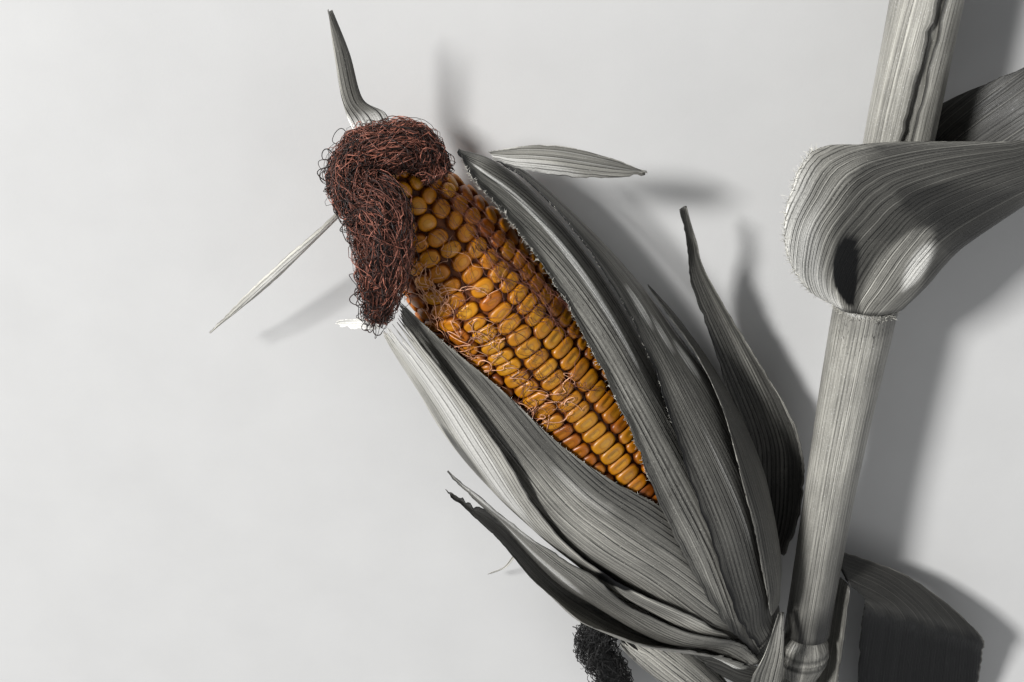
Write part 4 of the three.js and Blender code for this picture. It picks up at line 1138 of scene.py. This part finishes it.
def second_ear():
    # Each husk: its letter, first and last angle, distance beyond the ear's radius, reach along it, tone.
    wraps = (
        ("a", 20, 200, -0.9, 0.98, 1.5), ("b", 170, 300, -0.3, 1.0, 1.2), ("c", 270, 400, -0.9, 0.96, 1.3),
    )
    for k, (letter, *wrap, tone) in enumerate(wraps):
        sheet(
            "second_ear_husk_" + letter, second_ear_surface(*wrap), 61 + k, ["second_ear"], "husk", HUSK,
            rib=1.6, rib_height=0.08, swell=0.25, swell_size=14, row=1.1, ragged=(0.8, 1.2), ragged_tip=6,
            margin=(0.2, 0.85), margin_width=1.8, tone=tone, speck=0.2,
        )
    f, angle = np.linspace(0, 0.97, 40), np.arange(0, 360, 12.0)
    radius = table(SECOND_EAR_RADIUS, f)[:, :1] - 1.7
    path = along(SECOND_EAR_AXIS, f)
    look = [0.5, 0.0, 0.0]
    tube("second_ear_core", path, angle, radius, ["second_ear"], SILK_BLACK, look)


# Silk.
def silk_body(name, path, radii, nodes, material, shrink):
    """The dark body under the strands, a share of the silk's radius, with waves on it."""
    angle = np.arange(0, 360, 12.0)
    f = np.linspace(0, 1, len(path))
    radius = table(radii, f) * shrink + 0.5 * waves(f[:, None] * 60, angle[None] * 0.1, 9, 8)
    tube(name, path, angle, radius, nodes, material, [0.5, 0.0, 0.0])


def curled(points, f, random, count, turns, size):
    """The points with a few seeded curls added to each strand."""
    for _ in range(2):
        first, second = unit(random.normal(size=(2, count, 1, 3)))
        winds = random.uniform(*turns, (count, 1))
        phase = random.uniform(0, ANY_PHASE, (count, 1)) + 2 * np.pi * f * winds
        wide = random.uniform(*size, (count, 1)) / np.sqrt(winds)
        points = points + first * (wide * np.sin(phase))[..., None]
        points = points + second * (wide * np.cos(phase))[..., None]
    return points


def on_path(path_at, s):
    return path_at(s.ravel()).reshape(*s.shape, 3)


def silk_strands(path_at, radii, count, random, spread=(0.7, 1.15)):
    """Strands that follow a path round its body, each with its own twist, drift and curls."""
    start, length = (-0.05, 0.9), (0.12, 0.5)
    f = np.linspace(0, 1, 27)[None]
    reach = random.uniform(*length, (count, 1)) * np.where(random.uniform(size=(count, 1)) < 0.5, 1, -1)
    s = np.clip(random.uniform(*start, (count, 1)) + reach * f, 0, 1)
    turn = random.uniform(0, 2 * np.pi, (count, 1)) + random.normal(0, 2.0, (count, 1)) * f
    out = random.uniform(*spread, (count, 1)) + 0.1 * np.sin(2 * np.pi * f * random.uniform(1, 3, (count, 1)))
    ahead, behind = (on_path(path_at, np.clip(s + by, 0, 1)) for by in (0.01, -0.01))
    right, top = sideways(unit(ahead - behind))
    radius = (value(radii, s) * out)[..., None]
    around = right * np.cos(turn)[..., None] + top * np.sin(turn)[..., None]
    points = on_path(path_at, s) + around * radius
    return curled(points, f, random, count, (1, 7), (0.3, 2.2))


def loops(path_at, radii, count, random, at, size):
    """Loops that hang out of the silk's body between two shares of its path."""
    f = np.linspace(0, 1, 26)[None]
    s = random.uniform(*at, (count, 1)) + 0 * f
    centre = on_path(path_at, s)
    out = unit(random.normal(size=(count, 1, 3)) + np.array([-0.7, -0.5, 0.3]))
    across_it = unit(np.cross(out, random.normal(size=(count, 1, 3))))
    wide = random.uniform(*size, (count, 1))
    turn = 2 * np.pi * f * random.uniform(0.6, 1.1, (count, 1))
    radius = 0.8 * value(radii, s)
    points = centre + out * (radius + wide * (1 - np.cos(turn)) * 0.6)[..., None]
    points = points + across_it * (wide * 0.55 * np.sin(turn))[..., None]
    return curled(points, f, random, count, (1, 3), (0.2, 0.7))


def silk_piece(name, paths, radii, random, nodes, material, tones=(0.5, 1.5)):
    points, faces = strand_mesh(paths, radii)
    look = np.zeros((len(points), 3))
    look[:, 0] = np.repeat(random.uniform(*tones, len(paths)), len(points) // len(paths))
    piece(name, points, faces, nodes, [material], look=look)


def main_silk():
    random = np.random.default_rng(11)

    def path_at(s):
        return ear_point(*along(SILK_PATH, s).T)

    nodes, slot = ["silk"], "silk_brown"
    silk_body("silk_core", path_at(np.linspace(0, 1, 60)), SILK_RADIUS, nodes, SILK_DARK, 0.74)
    for name, count, material, thick, spread, tones in (
        ("silk_red_strands", 820, SILK_RED, (0.10, 0.17), (0.80, 1.12), (0.25, 1.9)),
        ("silk_dark_strands", 430, SILK_DARK, (0.10, 0.20), (0.75, 1.22), (0.15, 0.9)),
    ):
        paths = silk_strands(path_at, SILK_RADIUS, count, random, spread=spread)
        silk_piece(name, paths, random.uniform(*thick, count), random, nodes, material, tones)
    tail = loops(path_at, SILK_RADIUS, 80, random, (0.84, 1.0), (1.5, 4.5))
    gap = loops(path_at, SILK_RADIUS, 60, random, (0.38, 0.64), (1.5, 4.5))
    fringe = np.concatenate([tail, gap])
    radii = random.uniform(0.12, 0.24, len(fringe))
    silk_piece("silk_loops", fringe, radii, random, nodes, SILK_DARK, (0.1, 0.7))
    wisps = loops(path_at, SILK_RADIUS, 130, random, (0.0, 0.9), (1.0, 3.0))
    radii = random.uniform(0.09, 0.15, len(wisps))
    silk_piece("silk_wisps", wisps, radii, random, nodes, SILK_RED)


def second_silk():
    random = np.random.default_rng(12)

    def path_at(s):
        return along(SECOND_SILK_PATH, s)

    nodes, slot = ["second_ear_silk"], "silk_black"
    path = path_at(np.linspace(0, 1, 40))
    silk_body("second_silk_core", path, SECOND_SILK_RADIUS, nodes, SILK_BLACK, 0.7)
    paths = silk_strands(path_at, SECOND_SILK_RADIUS, 300, random)
    paths = np.concatenate([paths, silk_strands(path_at, SECOND_SILK_RADIUS, 90, random, spread=(1.0, 1.35))])
    radii = random.uniform(0.12, 0.22, len(paths))
    silk_piece("second_silk_strands", paths, radii, random, nodes, SILK_BLACK)


def threads_on_kernels():
    """Loose curling threads that lie on the kernels, most of them towards the ear's tip."""
    random = np.random.default_rng(13)
    f = np.linspace(0, 1, 34)[None]
    for name, count, material, thick, low, high, left, right, curl in (
        ("silk_threads_pale", 40, SILK_PINK, (0.13, 0.20), 112, 180, -34, 10, 2.6),
        ("silk_threads_brown", 40, SILK_RED, (0.08, 0.13), 110, 194, -30, 58, 1.5),
        ("silk_threads_fine", 9, SILK_DARK, (0.05, 0.08), 90, 175, -10, 50, 1.6),
        ("silk_threads_edge", 70, SILK_RED, (0.08, 0.14), 140, 194, 34, 66, 0.8),
    ):
        start = random.uniform(low, high, (count, 1))
        length = random.uniform(8, 26, (count, 1))
        heading = random.normal(0, 0.9, (count, 1)) if curl > 1 else random.normal(0, 0.25, (count, 1))
        t = start - length * f * np.cos(heading)
        side = random.uniform(left, right, (count, 1)) + np.degrees(length * f * np.sin(heading) / EAR_RADIUS)
        for _ in range(3):
            turns = random.uniform(1, 4.5, (count, 1))
            size = curl * random.uniform(0.2, 1, (count, 1)) / np.sqrt(turns)
            wave = 2 * np.pi * turns * f
            t = t + size * np.sin(wave + random.uniform(0, ANY_PHASE, (count, 1)))
            side = side + 2.6 * size * np.sin(wave + random.uniform(0, ANY_PHASE, (count, 1)))
        hop = random.uniform(0, 0.9, (count, 1))
        radius = value(COB_PROFILE, t) + 0.15 + hop * np.sin(np.pi * f) + 0.2 * np.sin(9 * f + start)
        paths, radii = ear_point(t, side, radius), random.uniform(*thick, count)
        silk_piece(name, paths, radii, random, ["silk"], material, (0.6, 1.2))


# Hairs.
def hairs(name, roots, ways, lengths, seed, thick):
    random = np.random.default_rng(seed)
    f = np.linspace(0, 1, 5)[None, :, None]
    bend = unit(random.normal(size=roots.shape))[:, None]
    paths = roots[:, None] + (ways[:, None] + bend * 0.35 * f) * f * lengths[:, None, None]
    silk_piece(name, paths, np.full(len(roots), thick), random, [], HAIR)


def margin_hairs(name, sheet_name, column, start, end, count, lengths, seed, thick, spread):
    """Hairs or torn fibres along a margin of a finished sheet, the first column or the last."""
    random = np.random.default_rng(seed)
    rows = SHEETS[sheet_name]
    at = np.sort(random.uniform(start, end, count)) * (len(rows) - 1)
    low = np.floor(at).astype(int)
    share = (at - low)[:, None]
    rim = rows[low, column] * (1 - share) + rows[low + 1, column] * share
    ways = unit(rim - rows[low, column + (2 if column == 0 else -2)])
    ways = unit(ways + spread * random.normal(size=rim.shape))
    hairs(name, rim, ways, random.uniform(*lengths, count), seed, thick)


# Each fringe: its sheet, the column that it grows on, from and to along it, count, lengths, seed, radius of
# a hair, and how far the hairs spread.
FRINGES = {
    "leaf_margin_hairs": ["upper_leaf", 0, 0.01, 0.16, 260, (0.8, 2.2), 15, 0.07, 0.4],
    "inner_husk_fibres": ["husk_right_inner_skin", 0, 0.37, 0.97, 380, (0.3, 1.3), 17, 0.07, 0.9],
    "outer_husk_fibres": ["husk_right_outer_skin", 0, 0.45, 0.97, 110, (0.2, 0.7), 18, 0.05, 0.9],
    "left_husk_fibres": ["husk_left_inner_skin", -1, 0.3, 0.98, 160, (0.2, 0.8), 19, 0.05, 0.9],
    "lowest_husk_fibres": ["husk_left_lowest_skin", 0, 0.3, 0.8, 160, (0.4, 1.8), 20, 0.07, 0.9],
}


def fringes():
    for name, fringe in FRINGES.items():
        margin_hairs(name, *fringe)


def collar_hairs():
    """Hairs round the stalk at the collar, where the upper leaf leaves its sheath."""
    random = np.random.default_rng(14)
    count = 520
    angles = random.uniform(-175, 175, count)
    y = COLLAR_Y + random.uniform(-3.2, 0.6, count)
    roots = stalk_point(y, angles, -0.4)
    out = unit(roots - stalk_point(y, angles, -3))
    ways = unit(out + np.array([0, 0.2, 0]) + 0.45 * random.normal(size=out.shape))
    hairs("collar_hairs", roots, ways, random.uniform(0.5, 1.5, count), 16, 0.06)


def torn_thread():
    """A dry strip that hangs from the outermost husk on the left."""
    rows = SHEETS["husk_left_lowest_skin"]
    root = rows[int(0.62 * (len(rows) - 1)), 1]
    rail = np.array([root, root + [-4, -9, -3], root + [-8, -18, -7], root + [-13.5, -24, -11]])
    wide = np.array([0.9, 0.5, 0.2])
    sheet(
        "torn_thread", free_surface([rail, rail + wide], 0.2), 71, [], "husk", HUSK_PALE, rib=0.6, row=0.8,
        thickness=0.4, swell=0.1, crease=0.05, roll=(0.2, 0), tone=0.9,
    )


# The floor, the light and the camera.
FLOOR_HALF = 4  # metres
CAMERA_TILT = 28  # degrees from straight down
CAMERA_AIM = np.array([0, 0, 32.0])  # construction millimetres, as is the distance from it
CAMERA_AWAY = 435
LENS = 50


def stage():
    s = Shader("floor_pale", Roughness=0.85, Specular_IOR_Level=0.2)
    place = s.place()
    colour = s.mix(s.noise(place, 30, 4, 0.6), (0.47, 0.466, 0.458), (0.53, 0.526, 0.516))
    material = s.finish(colour, s.noise(place, 900, 3, 0.6), 0.0002, 0.15)
    mesh = bpy.data.meshes.new("floor")
    corners = [(x * FLOOR_HALF, y * FLOOR_HALF, 0) for x, y in ((-1, -1), (1, -1), (1, 1), (-1, 1))]
    mesh.from_pydata(corners, [], [(0, 1, 2, 3)])
    mesh.materials.append(material)
    floor = in_scene("floor", mesh)
    world = bpy.data.worlds.new("soft_sky")
    world.use_nodes = True
    sky = world.node_tree.nodes["Background"]
    sky.inputs["Color"].default_value = (0.93, 0.96, 1.0, 1)
    sky.inputs["Strength"].default_value = 0.3
    bpy.context.scene.world = world


def put(made, at, side, above, back):
    """Put a lamp or camera at a place, in metres, so that it looks the opposite way to back."""
    turn = Matrix(np.column_stack([side, above, back]).tolist())
    made.matrix_world = Matrix.Translation(at) @ turn.to_4x4()


def lamp(name, at, aim, size, power):
    """A square lamp at a place, in metres, that shines at another. power is in watts."""
    light = bpy.data.lights.new(name, "AREA")
    light.energy = power
    light.size = size
    back = unit(np.array(at, float) - np.array(aim, float))
    side = unit(np.cross([0, 0, 1], back))
    put(in_scene(name, light), at, side, np.cross(back, side), back)


def camera():
    tilt = math.radians(CAMERA_TILT)
    away = np.array([0, math.sin(tilt), math.cos(tilt)])
    above = np.array([0, math.cos(tilt), -math.sin(tilt)])
    at = (CAMERA_AIM + away * CAMERA_AWAY - SHIFT) * MM
    data = bpy.data.cameras.new("camera")
    data.lens = LENS
    data.sensor_width = 36
    data.sensor_fit = "HORIZONTAL"
    data.clip_start = 0.01
    made = in_scene("camera", data)
    put(made, at.tolist(), [1, 0, 0], above, away)
    bpy.context.scene.camera = made


stage()
lamp("key", (-1.7, 1.15, 1.6), (-0.05, 0.0, 0.03), 0.4, 104)
lamp("fill", (1.5, -0.6, 1.7), (0.0, 0.0, 0.0), 1.6, 10)
camera()
bpy.context.scene.view_settings.view_transform = "Standard"

cob_bed()
kernels()
husks()
stalk()
sheaths()
leaves()
shank()
second_ear()
main_silk()
second_silk()
threads_on_kernels()
fringes()
collar_hairs()
torn_thread()
